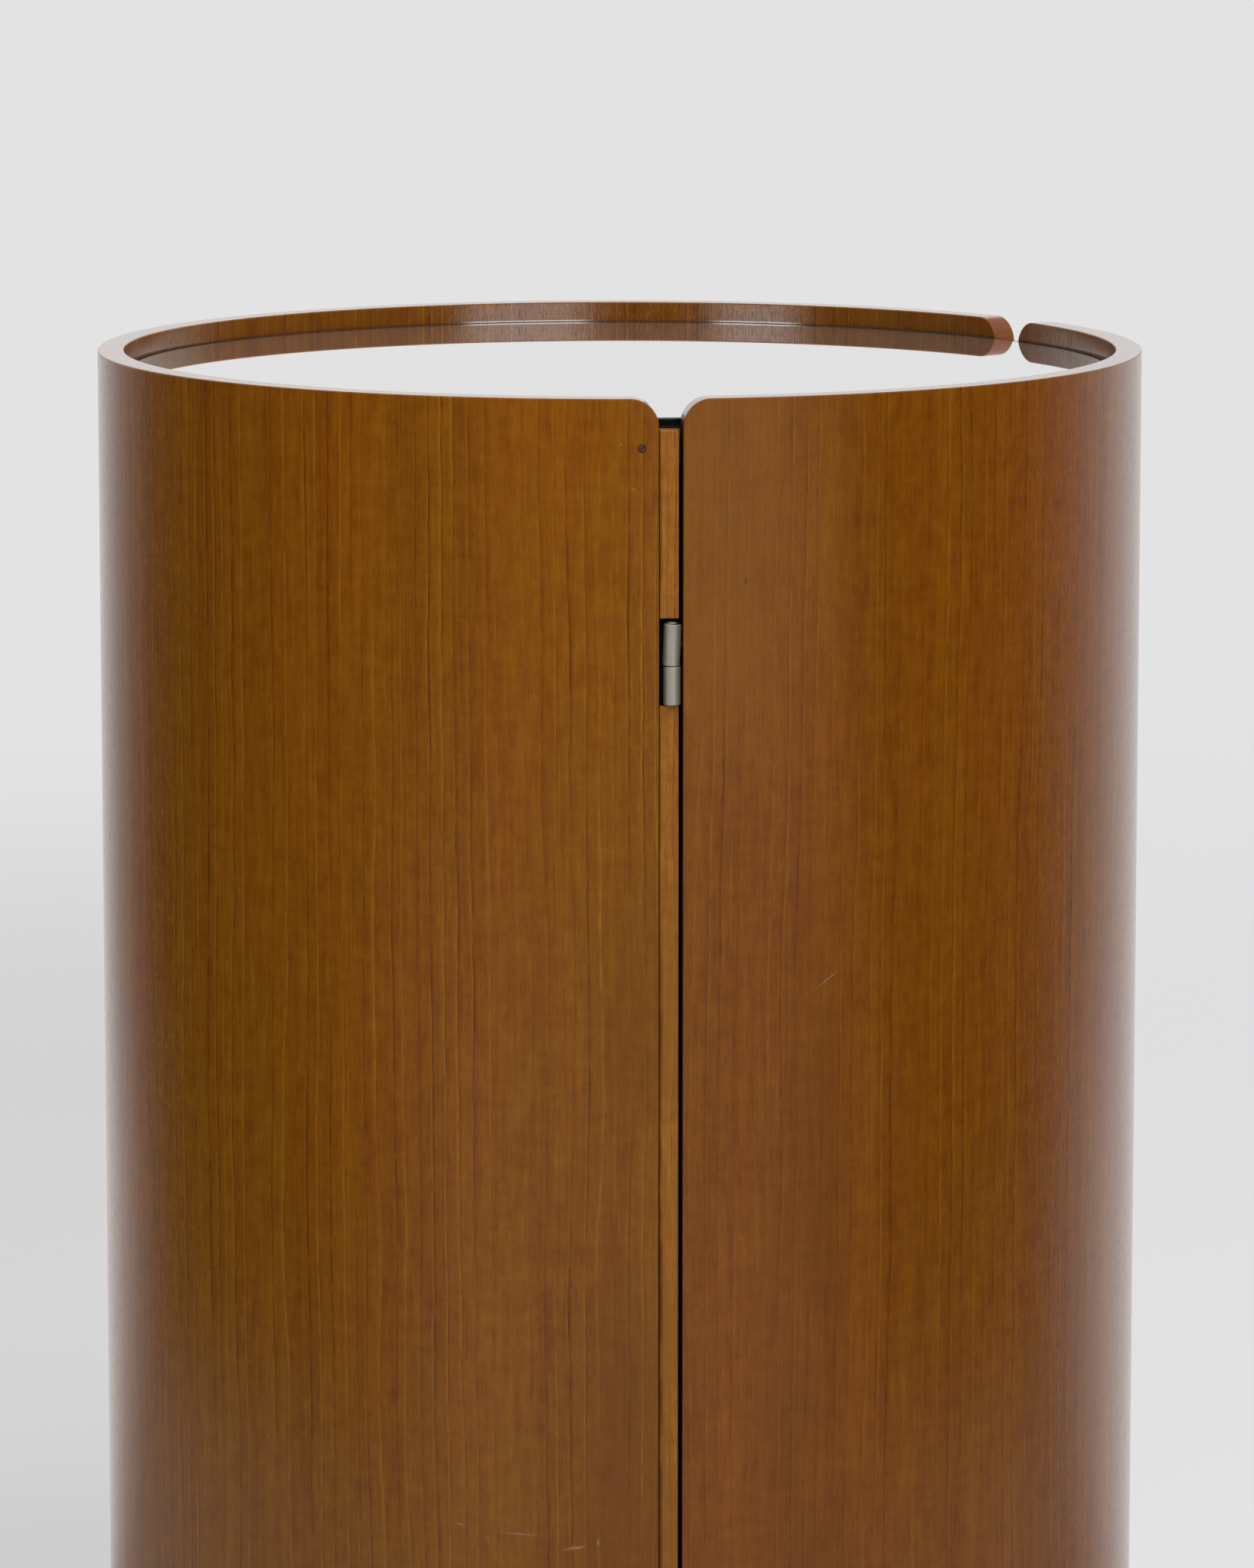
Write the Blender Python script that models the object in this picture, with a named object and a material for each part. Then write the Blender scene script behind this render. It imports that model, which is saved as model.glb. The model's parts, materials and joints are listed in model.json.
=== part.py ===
# Round bar cabinet: a bent plywood body with one curved door, a rimmed mirror top,
# shelves inside and bottle trays on the door.
#
# Metres, +Z up. The origin is on the floor at the centre of the round body.
# An azimuth is measured from the front (-Y) and grows towards the right-hand side (+X).

import math

import bmesh
import bpy
from mathutils import Matrix, Vector

# Body
OUTER_RADIUS = 0.300
WALL = 0.015
SHELL_HEIGHT = 0.828
FLOOR_GAP = 0.022           # from the floor to the lower edge of the shells
CORNER_RADIUS = 0.0155      # rounded corners at the ends of both shells
ARRIS = 0.001               # broken edges of the wooden parts
FIT = 0.0004                # clearance between parts that touch

# Seams between the fixed shell and the door
FRONT_GAP = 0.0129
FRONT_GAP_AZIMUTH = math.radians(5.3)
REAR_GAP = 0.0215           # wide enough for the fingertips that pull the door
DOOR_ANGLE = math.radians(117.1)

# Top and bottom
RIM_HEIGHT = 0.012          # rim above the mirror
MIRROR_THICKNESS = 0.005
MIRROR_ARRIS = 0.0006
PANEL_THICKNESS = 0.019
BOTTOM_RECESS = 0.010       # bottom panel above the lower edge of the shells

# Base
PLINTH_SETBACK = 0.045      # base ring behind the face of the body
PLINTH_WALL = 0.018
GLIDE_COUNT = 4
GLIDE_RADIUS = 0.014
GLIDE_THICKNESS = 0.004
GLIDE_NAIL_RADIUS = 0.0016
GLIDE_NAIL_LENGTH = 0.012
GLIDE_AZIMUTH = math.radians(45)

# Posts behind the seams
BATTEN_DEPTH = 0.020
FRONT_BATTEN_LAP = 0.030    # behind the fixed shell
REAR_BATTEN_LAP = 0.026
DOOR_STOP_LAP = 0.010       # behind the door's free edge

# Solid strip that fills the front seam
STRIP_RECESS = 0.0025       # behind the face of the shells
STRIP_SHELL_GAP = 0.0003
STRIP_DOOR_GAP = 0.0019
STRIP_ROUND = 0.0007

# Hinges
HINGE_INSET = 0.145         # from the top and from the bottom of the shells
HINGE_DEPTH = 0.004         # hinge axis below the face of the shells
KNUCKLE_RADIUS = 0.00485
DOOR_KNUCKLE_LENGTH = 0.0226
BODY_KNUCKLE_LENGTH = 0.0210
KNUCKLE_EDGE = 0.0004
KNUCKLE_DOOR_GAP = 0.0007   # between the knuckles and the door's edge
KNUCKLE_TILT = math.radians(2.7)    # the door's knuckle leans a little on its pin
NOTCH_CLEARANCE = 0.001     # behind the knuckles
NOTCH_HEADROOM = 0.003      # above the door's knuckle
PIN_RADIUS = 0.0018
PIN_HEAD_RADIUS = 0.0029
PIN_HEAD_THICKNESS = 0.0007
BORE_FLOOR = 0.003
STUD_RADIUS = 0.0020
STUD_LENGTH = 0.027

# Shelves in the body
SHELF_THICKNESS = 0.016
SHELF_POST_GAP = 0.008      # front corners of a shelf behind the posts
LOWER_CLEAR_HEIGHT = 0.330
MIDDLE_CLEAR_HEIGHT = 0.203
PEG_COUNT = 4
PEG_RADIUS = 0.003
PEG_IN_WALL = 0.009
PEG_REACH = 0.016
PEG_END_INSET = math.radians(12)

# Trays on the door
TRAY_THICKNESS = 0.012
TRAY_DEPTH = 0.100
TRAY_GROOVE = 0.005
TRAY_END_GAP = 0.040        # from each edge of the door
TRAY_FLOOR_GAP = 0.009      # lower tray above the bottom panel
TRAY_CLEAR_HEIGHT = 0.358
RAIL_RADIUS = 0.003
RAIL_HEIGHT = 0.080
RAIL_BEND = 0.018
RAIL_INSET = 0.007          # rail's centre from the free edge of the tray
RAIL_END_INSET = 0.012

# Magnetic catch
CATCH_WIDTH = 0.046
CATCH_DEPTH = 0.018
CATCH_HEIGHT = 0.014
CATCH_INSET = 0.055         # from the door's free edge
PLATE_WIDTH = 0.030
PLATE_THICKNESS = 0.0015

# Screws
SCREW_HEAD_RADIUS = 0.0020
SCREW_HEAD_THICKNESS = 0.0010
SCREW_SHANK_RADIUS = 0.0014
SCREW_SINK = 0.0003         # head below the surface
SCREW_SLOT = 0.0007
SCREW_TIP_RADIUS = 0.0004
SCREW_TIP_LENGTH = 0.0028
SHELL_SLOT_TURN = math.radians(35)
SHELL_SCREW_LENGTH = 0.035
SHELL_SCREW_EDGE = 0.0093   # from the ends of the fixed shell
SHELL_SCREW_COUNT = 4
SEEN_SHELL_ANGLE = math.radians(112)    # stretch of the fixed shell that has no screws
PLINTH_SCREW_LENGTH = 0.032
CATCH_SCREW_LENGTH = 0.024
PLATE_SCREW_LENGTH = 0.010

# Facets
STEP = math.radians(4)
COARSE_STEP = math.radians(6)
CORNER_STEPS = 6
SMALL_SIDES = 10
ROUND_SIDES = 20
RAIL_RESOLUTION = 2
SMOOTH_ANGLE = math.radians(30)     # sharper edges are shaded as edges
SHARP_ANGLE = math.radians(50)      # sharper edges are bevelled

# Levels and angles that follow from the sizes above
INNER_RADIUS = OUTER_RADIUS - WALL
PANEL_RADIUS = INNER_RADIUS - FIT
PLINTH_RADIUS = OUTER_RADIUS - PLINTH_SETBACK
SHELL_BOTTOM = FLOOR_GAP
SHELL_TOP = FLOOR_GAP + SHELL_HEIGHT
MIRROR_TOP = SHELL_TOP - RIM_HEIGHT
MIRROR_UNDERSIDE = MIRROR_TOP - MIRROR_THICKNESS
TOP_PANEL_TOP = MIRROR_UNDERSIDE - FIT
TOP_PANEL_UNDERSIDE = TOP_PANEL_TOP - PANEL_THICKNESS
BOTTOM_PANEL_UNDERSIDE = SHELL_BOTTOM + BOTTOM_RECESS
BOTTOM_PANEL_TOP = BOTTOM_PANEL_UNDERSIDE + PANEL_THICKNESS
DOOR_START = FRONT_GAP_AZIMUTH + FRONT_GAP / 2 / OUTER_RADIUS
DOOR_END = DOOR_START + DOOR_ANGLE
SHELL_START = DOOR_END + REAR_GAP / OUTER_RADIUS
SHELL_END = math.tau + FRONT_GAP_AZIMUTH - FRONT_GAP / 2 / OUTER_RADIUS
DOOR_MIDDLE = (DOOR_START + DOOR_END) / 2
STRIP_START = SHELL_END - math.tau + STRIP_SHELL_GAP / OUTER_RADIUS
STRIP_END = DOOR_START - STRIP_DOOR_GAP / OUTER_RADIUS
BATTEN_INNER = PANEL_RADIUS - BATTEN_DEPTH
FRONT_BATTEN_START = SHELL_END - math.tau - FRONT_BATTEN_LAP / OUTER_RADIUS
REAR_BATTEN_START = DOOR_END - DOOR_STOP_LAP / OUTER_RADIUS
REAR_BATTEN_END = SHELL_START + REAR_BATTEN_LAP / OUTER_RADIUS
HINGE_RADIUS = OUTER_RADIUS - HINGE_DEPTH
HINGE_AZIMUTH = DOOR_START - math.asin((KNUCKLE_RADIUS + KNUCKLE_DOOR_GAP) / HINGE_RADIUS)
UPPER_HINGE_Z = SHELL_TOP - HINGE_INSET
LOWER_HINGE_Z = SHELL_BOTTOM + HINGE_INSET


def polar(radius, azimuth, z=0.0):
    return Vector((radius * math.sin(azimuth), -radius * math.cos(azimuth), z))


def span(start, end, step):
    """Evenly spaced values from start to end, no further apart than step."""
    count = max(1, math.ceil(abs(end - start) / step - 1e-6))
    return [start + (end - start) * index / count for index in range(count + 1)]


def corner_points(radius):
    """Points of a rounded corner: distance in from the end, drop below the top."""
    angles = span(0.0, math.pi / 2, math.pi / 2 / CORNER_STEPS)
    return [(radius * (1 - math.cos(a)), radius * (1 - math.sin(a))) for a in angles]


def make_material(name, color, roughness, metallic=0.0):
    material = bpy.data.materials.new(name)
    material.use_nodes = True
    shader = material.node_tree.nodes["Principled BSDF"]
    shader.inputs["Base Color"].default_value = (*color, 1.0)
    shader.inputs["Roughness"].default_value = roughness
    shader.inputs["Metallic"].default_value = metallic
    material.diffuse_color = (*color, 1.0)
    return material


def add_object(name, data, parent, finish=None):
    """Put mesh or curve data in the scene under a parent, with its material."""
    item = bpy.data.objects.new(name, data)
    bpy.context.scene.collection.objects.link(item)
    if finish is not None:
        data.materials.append(make_material(name, *finish))
    if data.id_type == 'MESH':
        data.shade_smooth()
        data.set_sharp_from_angle(angle=SMOOTH_ANGLE)
    item.parent = parent
    item.matrix_parent_inverse = parent.matrix_world.inverted()
    return item


def mesh_from(bm, name):
    bmesh.ops.recalc_face_normals(bm, faces=bm.faces)
    mesh = bpy.data.meshes.new(name)
    bm.to_mesh(mesh)
    bm.free()
    return mesh


def loft(sections, closed=False):
    """Skin a row of matching outlines; closed joins the last one to the first."""
    bm = bmesh.new()
    rows = [[bm.verts.new(point) for point in section] for section in sections]
    pairs = list(zip(rows, rows[1:]))
    if closed:
        pairs.append((rows[-1], rows[0]))
    for row, following in pairs:
        for index in range(len(row)):
            after = (index + 1) % len(row)
            bm.faces.new((row[index], row[after], following[after], following[index]))
    if not closed:
        bm.faces.new(rows[0])
        bm.faces.new(rows[-1])
    bmesh.ops.recalc_face_normals(bm, faces=bm.faces)
    return bm


def bar_section(inner, outer, bottom, top, azimuth):
    return [polar(inner, azimuth, bottom), polar(outer, azimuth, bottom),
            polar(outer, azimuth, top), polar(inner, azimuth, top)]


def curved_block(name, inner, outer, start, end, bottom, top):
    """A block bent round the body's axis."""
    azimuths = span(start, end, STEP)
    return mesh_from(loft([bar_section(inner, outer, bottom, top, a) for a in azimuths]), name)


def ring(name, inner, outer, bottom, top):
    azimuths = span(0.0, math.tau, COARSE_STEP)[:-1]
    return mesh_from(loft([bar_section(inner, outer, bottom, top, a) for a in azimuths], True), name)


def bent_shell(name, start, end):
    """Cut a flat board with rounded corners, break its edges, then bend it round the body."""
    length = (end - start) * OUTER_RADIUS
    corner = corner_points(CORNER_RADIUS)
    quarter = [(inset, SHELL_TOP - drop) for inset, drop in corner]
    upper = quarter + [(length - inset, height) for inset, height in reversed(quarter)]
    lower = [(inset, SHELL_TOP + SHELL_BOTTOM - height) for inset, height in reversed(upper)]
    faces = [[Vector((along, radius, height)) for along, height in upper + lower]
             for radius in (INNER_RADIUS, OUTER_RADIUS)]
    bm = loft(faces)
    rims = [edge for edge in bm.edges if edge.calc_face_angle() > SHARP_ANGLE]
    bmesh.ops.bevel(bm, geom=rims, offset=ARRIS, segments=1, profile=0.5, affect='EDGES')
    for along in span(CORNER_RADIUS, length - CORNER_RADIUS, STEP * OUTER_RADIUS):
        everything = bm.verts[:] + bm.edges[:] + bm.faces[:]
        bmesh.ops.bisect_plane(bm, geom=everything, plane_co=(along, 0, 0), plane_no=(1, 0, 0))
    for vert in bm.verts:
        vert.co = polar(vert.co.y, start + vert.co.x / OUTER_RADIUS, vert.co.z)
    return mesh_from(bm, name)


def prism(name, outline, bottom, top):
    """Raise a flat outline, given as points on the floor, into a board."""
    lower = [Vector((point.x, point.y, bottom)) for point in outline]
    upper = [Vector((point.x, point.y, top)) for point in outline]
    return mesh_from(loft([lower, upper]), name)


def disc(name, radius, bottom, top):
    outline = [polar(radius, azimuth) for azimuth in span(0.0, math.tau, STEP)[:-1]]
    return prism(name, outline, bottom, top)


def turned(name, profile, sides):
    """Turn a profile of (radius, height) points; flat faces close its ends."""
    angles = [math.tau * side / sides for side in range(sides)]
    sections = [[Vector((radius * math.cos(a), radius * math.sin(a), height)) for a in angles]
                for radius, height in profile]
    return mesh_from(loft(sections), name)


def point_along(item, origin, direction):
    """Lay a turned piece's own Z axis along a direction."""
    rotation = Vector(direction).to_track_quat('Z', 'Y').to_matrix().to_4x4()
    item.matrix_world = Matrix.Translation(origin) @ rotation


def guide(name, mesh, parent):
    """A cutter or a shape to add, which isn't a piece of its own."""
    tool = add_object(name, mesh, parent)
    tool.hide_render = True
    tool.display_type = 'WIRE'
    return tool


def boolean(item, tool, operation='DIFFERENCE'):
    modifier = item.modifiers.new(operation.title(), 'BOOLEAN')
    modifier.operation = operation
    modifier.solver = 'EXACT'
    modifier.object = tool


def soften(item, width, segments=1):
    modifier = item.modifiers.new("Arris", 'BEVEL')
    modifier.width = width
    modifier.segments = segments
    modifier.limit_method = 'ANGLE'
    modifier.angle_limit = SHARP_ANGLE


def bore_along(item, origin, direction, radius, near, far):
    """Drill a round hole in a piece from near to far along a line."""
    name = item.name + "_hole"
    drill = guide(name, turned(name, [(radius, near), (radius, far)], SMALL_SIDES), item.parent)
    point_along(drill, origin, direction)
    boolean(item, drill)


def add_screw(name, parent, finish, origin, inward, length, through, slot_turn=0.0):
    """A slotted screw whose head is let into the first of the pieces it goes through."""
    head_top = -SCREW_SINK
    head_under = head_top - SCREW_HEAD_THICKNESS
    shank = [(SCREW_TIP_RADIUS, -length),
             (SCREW_SHANK_RADIUS, -length + SCREW_TIP_LENGTH),
             (SCREW_SHANK_RADIUS, head_under)]
    profile = shank + [(SCREW_HEAD_RADIUS, head_under), (SCREW_HEAD_RADIUS, head_top)]
    screw = add_object(name, turned(name, profile, SMALL_SIDES), parent, finish)
    outward = -Vector(inward)
    point_along(screw, origin, outward)
    slot_mesh = prism(name + "_slot", slot_outline(slot_turn), -SCREW_SINK - SCREW_SLOT / 2, SCREW_SLOT)
    slot = guide(name + "_slot", slot_mesh, parent)
    point_along(slot, origin, outward)
    boolean(screw, slot)
    bore_along(through[0], origin, outward, SCREW_HEAD_RADIUS + FIT, head_under - FIT, SCREW_HEAD_RADIUS)
    for piece in through:
        bore_along(piece, origin, outward, SCREW_SHANK_RADIUS + FIT, -length - FIT, head_under)


def slot_outline(turn):
    reach = 2 * SCREW_HEAD_RADIUS
    half = SCREW_SLOT / 2
    corners = [(-reach, -half), (reach, -half), (reach, half), (-reach, half)]
    turning = Matrix.Rotation(turn, 2)
    return [Vector((*(turning @ Vector(corner)), 0.0)) for corner in corners]


def clear_scene():
    for item in list(bpy.data.objects):
        bpy.data.objects.remove(item, do_unlink=True)


WOOD = ((0.195, 0.068, 0.010), 0.38)
DOOR_WOOD = ((0.180, 0.060, 0.012), 0.38)
STRIP_WOOD = ((0.270, 0.110, 0.025), 0.45)
INNER_WOOD = ((0.260, 0.120, 0.040), 0.50)
PLINTH_BLACK = ((0.012, 0.011, 0.010), 0.60)
MIRROR = ((0.93, 0.94, 0.94), 0.03, 1.0)
GREY_METAL = ((0.40, 0.38, 0.33), 0.42, 0.8)
BRASS = ((0.55, 0.40, 0.16), 0.35, 1.0)
STEEL = ((0.55, 0.55, 0.54), 0.30, 1.0)
SCREW_BROWN = ((0.075, 0.030, 0.018), 0.45, 0.4)
PLASTIC = ((0.045, 0.025, 0.014), 0.45)
GLIDE_PLASTIC = ((0.05, 0.04, 0.035), 0.40)


def build_shells(carcass, door):
    fixed = add_object("fixed_shell", bent_shell("fixed_shell", SHELL_START, SHELL_END), carcass, WOOD)
    swinging = add_object("door_shell", bent_shell("door_shell", DOOR_START, DOOR_END), door, DOOR_WOOD)
    return fixed, swinging


def build_top_and_bottom(carcass):
    top = disc("top_panel", PANEL_RADIUS, TOP_PANEL_UNDERSIDE, TOP_PANEL_TOP)
    bottom = disc("bottom_panel", PANEL_RADIUS, BOTTOM_PANEL_UNDERSIDE, BOTTOM_PANEL_TOP)
    glass = disc("mirror_top", PANEL_RADIUS, MIRROR_UNDERSIDE, MIRROR_TOP)
    mirror = add_object("mirror_top", glass, carcass, MIRROR)
    soften(mirror, MIRROR_ARRIS)
    return (add_object("top_panel", top, carcass, INNER_WOOD),
            add_object("bottom_panel", bottom, carcass, INNER_WOOD))


def build_base(carcass, bottom_panel):
    """A set-back ring on nailed glides, screwed to the bottom panel from above."""
    ring_bottom = GLIDE_THICKNESS + FIT
    ring_mesh = ring("plinth_ring", PLINTH_RADIUS - PLINTH_WALL, PLINTH_RADIUS,
                     ring_bottom, BOTTOM_PANEL_UNDERSIDE - FIT)
    plinth = add_object("plinth_ring", ring_mesh, carcass, PLINTH_BLACK)
    middle = PLINTH_RADIUS - PLINTH_WALL / 2
    up = Vector((0, 0, 1))
    for number in range(GLIDE_COUNT):
        azimuth = GLIDE_AZIMUTH + math.tau * number / GLIDE_COUNT
        edge = GLIDE_THICKNESS / 4
        profile = [(GLIDE_RADIUS - edge, 0.0), (GLIDE_RADIUS, edge), (GLIDE_RADIUS, GLIDE_THICKNESS),
                   (GLIDE_NAIL_RADIUS, GLIDE_THICKNESS),
                   (GLIDE_NAIL_RADIUS, GLIDE_THICKNESS + GLIDE_NAIL_LENGTH)]
        name = f"glide_{number + 1}"
        glide = add_object(name, turned(name, profile, ROUND_SIDES), carcass, GLIDE_PLASTIC)
        point_along(glide, polar(middle, azimuth), up)
        bore_along(plinth, polar(middle, azimuth), up, GLIDE_NAIL_RADIUS + FIT,
                   0.0, GLIDE_THICKNESS + GLIDE_NAIL_LENGTH + FIT)
        between = azimuth + math.pi / GLIDE_COUNT
        add_screw(f"plinth_screw_{number + 1}", carcass, STEEL, polar(middle, between, BOTTOM_PANEL_TOP),
                  -up, PLINTH_SCREW_LENGTH, [bottom_panel, plinth])


def build_posts(carcass):
    """Battens behind both seams; the rear one is also the stop for the door."""
    low = BOTTOM_PANEL_TOP + FIT
    high = TOP_PANEL_UNDERSIDE - FIT
    front_mesh = curved_block("front_batten", BATTEN_INNER, PANEL_RADIUS,
                              FRONT_BATTEN_START, STRIP_END, low, high)
    rear_mesh = curved_block("rear_batten", BATTEN_INNER, PANEL_RADIUS,
                             REAR_BATTEN_START, REAR_BATTEN_END, low, high)
    strip_mesh = curved_block("hinge_strip", INNER_RADIUS, OUTER_RADIUS - STRIP_RECESS,
                              STRIP_START, STRIP_END, BOTTOM_PANEL_UNDERSIDE, TOP_PANEL_TOP)
    front = add_object("front_batten", front_mesh, carcass, INNER_WOOD)
    add_object("rear_batten", rear_mesh, carcass, INNER_WOOD)
    strip = add_object("hinge_strip", strip_mesh, carcass, STRIP_WOOD)
    soften(strip, STRIP_ROUND, 2)
    return front, strip


def knuckle_mesh(name, low, high):
    profile = [(KNUCKLE_RADIUS - KNUCKLE_EDGE, low), (KNUCKLE_RADIUS, low + KNUCKLE_EDGE),
               (KNUCKLE_RADIUS, high - KNUCKLE_EDGE), (KNUCKLE_RADIUS - KNUCKLE_EDGE, high)]
    return turned(name, profile, ROUND_SIDES)


def add_stud(knuckle, start, end, pieces):
    """The round stud that anchors a knuckle, with its holes in the wood."""
    direction = end - start
    reach = direction.length
    name = knuckle.name + "_stud"
    profile = [(STUD_RADIUS, 0.0), (STUD_RADIUS, reach - STUD_RADIUS), (STUD_RADIUS / 2, reach)]
    stud = guide(name, turned(name, profile, SMALL_SIDES), knuckle.parent)
    point_along(stud, start, direction)
    boolean(knuckle, stud, 'UNION')
    for piece in pieces:
        bore_along(piece, start, direction, STUD_RADIUS + FIT, 0.0, reach + FIT)


def build_hinge(label, height, carcass, door, strip, front_batten, door_shell):
    """A two-knuckle pin hinge whose studs go into the door's edge and the front batten."""
    axis = polar(HINGE_RADIUS, HINGE_AZIMUTH)
    joint_low = height - FIT / 2
    joint_high = height + FIT / 2
    body_low = joint_low - BODY_KNUCKLE_LENGTH
    door_high = joint_high + DOOR_KNUCKLE_LENGTH
    up = Vector((0, 0, 1))

    notch = curved_block("notch", HINGE_RADIUS - KNUCKLE_RADIUS - NOTCH_CLEARANCE, OUTER_RADIUS + WALL,
                         STRIP_START - FRONT_GAP / OUTER_RADIUS, STRIP_END + FRONT_GAP / OUTER_RADIUS,
                         body_low - FIT, door_high + NOTCH_HEADROOM)
    boolean(strip, guide(f"{label}_notch", notch, carcass))

    body_name = f"{label}_body_knuckle"
    body = add_object(body_name, knuckle_mesh(body_name, body_low, joint_low), carcass, GREY_METAL)
    body.location = axis
    body_stud_z = (body_low + joint_low) / 2
    strip_middle = (STRIP_START + STRIP_END) / 2
    body_stud_end = polar(HINGE_RADIUS - STUD_LENGTH, strip_middle, body_stud_z)
    add_stud(body, axis + up * body_stud_z, body_stud_end, [strip, front_batten])
    bore_along(body, axis, up, PIN_RADIUS + FIT, body_low + BORE_FLOOR, joint_low + FIT)

    door_name = f"{label}_door_knuckle"
    door_middle = (joint_high + door_high) / 2
    half = DOOR_KNUCKLE_LENGTH / 2
    leaning = add_object(door_name, knuckle_mesh(door_name, -half, half), door, GREY_METAL)
    lean = Matrix.Rotation(KNUCKLE_TILT, 3, 'Y') @ up
    point_along(leaning, axis + up * door_middle, lean)
    wall_middle = OUTER_RADIUS - WALL / 2
    door_stud_end = polar(wall_middle, DOOR_START + STUD_LENGTH / OUTER_RADIUS, door_middle)
    add_stud(leaning, axis + up * door_middle, door_stud_end, [door_shell])
    sway = half * math.tan(KNUCKLE_TILT)
    bore_along(leaning, axis + up * door_middle, lean, PIN_RADIUS + sway + FIT / 2, -2 * half, 2 * half)

    pin_name = f"{label}_pin"
    head_low = door_high + FIT
    profile = [(PIN_RADIUS, body_low + BORE_FLOOR + FIT), (PIN_RADIUS, head_low),
               (PIN_HEAD_RADIUS, head_low), (PIN_HEAD_RADIUS, head_low + PIN_HEAD_THICKNESS / 2),
               (PIN_HEAD_RADIUS / 2, head_low + PIN_HEAD_THICKNESS)]
    pin = add_object(pin_name, turned(pin_name, profile, SMALL_SIDES), carcass, BRASS)
    pin.location = axis


def shelf_outline():
    """Round at the back, straight across the front just behind the two posts."""
    rear_corner = REAR_BATTEN_END + SHELF_POST_GAP / BATTEN_INNER
    front_corner = FRONT_BATTEN_START - SHELF_POST_GAP / BATTEN_INNER
    half_at_posts = max(rear_corner - DOOR_MIDDLE, DOOR_MIDDLE - front_corner)
    half_angle = math.acos(BATTEN_INNER * math.cos(half_at_posts) / PANEL_RADIUS)
    start = DOOR_MIDDLE + half_angle
    end = DOOR_MIDDLE - half_angle + math.tau
    return start, end, [polar(PANEL_RADIUS, azimuth) for azimuth in span(start, end, STEP)]


def build_shelves(carcass, fixed_shell):
    start, end, outline = shelf_outline()
    lower_underside = BOTTOM_PANEL_TOP + LOWER_CLEAR_HEIGHT
    upper_underside = lower_underside + SHELF_THICKNESS + MIDDLE_CLEAR_HEIGHT
    for label, underside in (("lower", lower_underside), ("upper", upper_underside)):
        name = f"{label}_shelf"
        add_object(name, prism(name, outline, underside, underside + SHELF_THICKNESS), carcass, INNER_WOOD)
        for number in range(PEG_COUNT):
            share = number / (PEG_COUNT - 1)
            azimuth = start + PEG_END_INSET + share * (end - start - 2 * PEG_END_INSET)
            add_peg(f"{label}_shelf_peg_{number + 1}", carcass, fixed_shell, azimuth,
                    underside - FIT - PEG_RADIUS)


def add_peg(name, carcass, fixed_shell, azimuth, height):
    edge = PEG_RADIUS / 4
    profile = [(PEG_RADIUS - edge, -PEG_IN_WALL), (PEG_RADIUS, edge - PEG_IN_WALL),
               (PEG_RADIUS, PEG_REACH - edge), (PEG_RADIUS - edge, PEG_REACH)]
    peg = add_object(name, turned(name, profile, SMALL_SIDES), carcass, STEEL)
    origin = polar(INNER_RADIUS, azimuth, height)
    inward = -polar(1.0, azimuth)
    point_along(peg, origin, inward)
    bore_along(fixed_shell, origin, inward, PEG_RADIUS + FIT, -PEG_IN_WALL - FIT, PEG_REACH)


def rail_points(radius, start, end, low, high):
    """One rod: up from the tray, round a bend, along the edge and down again."""
    bend = corner_points(RAIL_BEND)
    points = [polar(radius, start, low)]
    points += [polar(radius, start + inset / radius, high - drop) for inset, drop in bend]
    straight = span(start + RAIL_BEND / radius, end - RAIL_BEND / radius, COARSE_STEP)
    points += [polar(radius, azimuth, high) for azimuth in straight[1:-1]]
    points += [polar(radius, end - inset / radius, high - drop) for inset, drop in reversed(bend)]
    points.append(polar(radius, end, low))
    return points


def rod(name, points, radius):
    curve = bpy.data.curves.new(name, 'CURVE')
    curve.dimensions = '3D'
    curve.bevel_depth = radius
    curve.bevel_resolution = RAIL_RESOLUTION
    curve.use_fill_caps = True
    spline = curve.splines.new('POLY')
    spline.points.add(len(points) - 1)
    for target, point in zip(spline.points, points):
        target.co = (*point, 1.0)
    return curve


def build_trays(door, door_shell):
    """Two trays housed in grooves in the door, each with a rod rail for the bottles."""
    start = DOOR_START + TRAY_END_GAP / OUTER_RADIUS
    end = DOOR_END - TRAY_END_GAP / OUTER_RADIUS
    edge = INNER_RADIUS - TRAY_DEPTH
    lower_floor = BOTTOM_PANEL_TOP + TRAY_FLOOR_GAP
    upper_floor = lower_floor + TRAY_THICKNESS + TRAY_CLEAR_HEIGHT
    for label, low in (("lower", lower_floor), ("upper", upper_floor)):
        high = low + TRAY_THICKNESS
        name = f"{label}_tray"
        mesh = curved_block(name, edge, INNER_RADIUS + TRAY_GROOVE - FIT, start, end, low, high)
        tray = add_object(name, mesh, door, INNER_WOOD)
        spare = FIT / INNER_RADIUS
        groove = curved_block("groove", INNER_RADIUS - WALL / 2, INNER_RADIUS + TRAY_GROOVE,
                              start - spare, end + spare, low - FIT, high + FIT)
        boolean(door_shell, guide(f"{name}_groove", groove, door))

        rail_radius = edge + RAIL_INSET
        rail_start = start + RAIL_END_INSET / rail_radius
        rail_end = end - RAIL_END_INSET / rail_radius
        points = rail_points(rail_radius, rail_start, rail_end, low + FIT, high + RAIL_HEIGHT)
        add_object(f"{label}_rail", rod(f"{label}_rail", points, RAIL_RADIUS), door, STEEL)
        for azimuth in (rail_start, rail_end):
            bore_along(tray, polar(rail_radius, azimuth, low), Vector((0, 0, 1)),
                       RAIL_RADIUS + FIT, -TRAY_THICKNESS, 2 * TRAY_THICKNESS)


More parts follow.
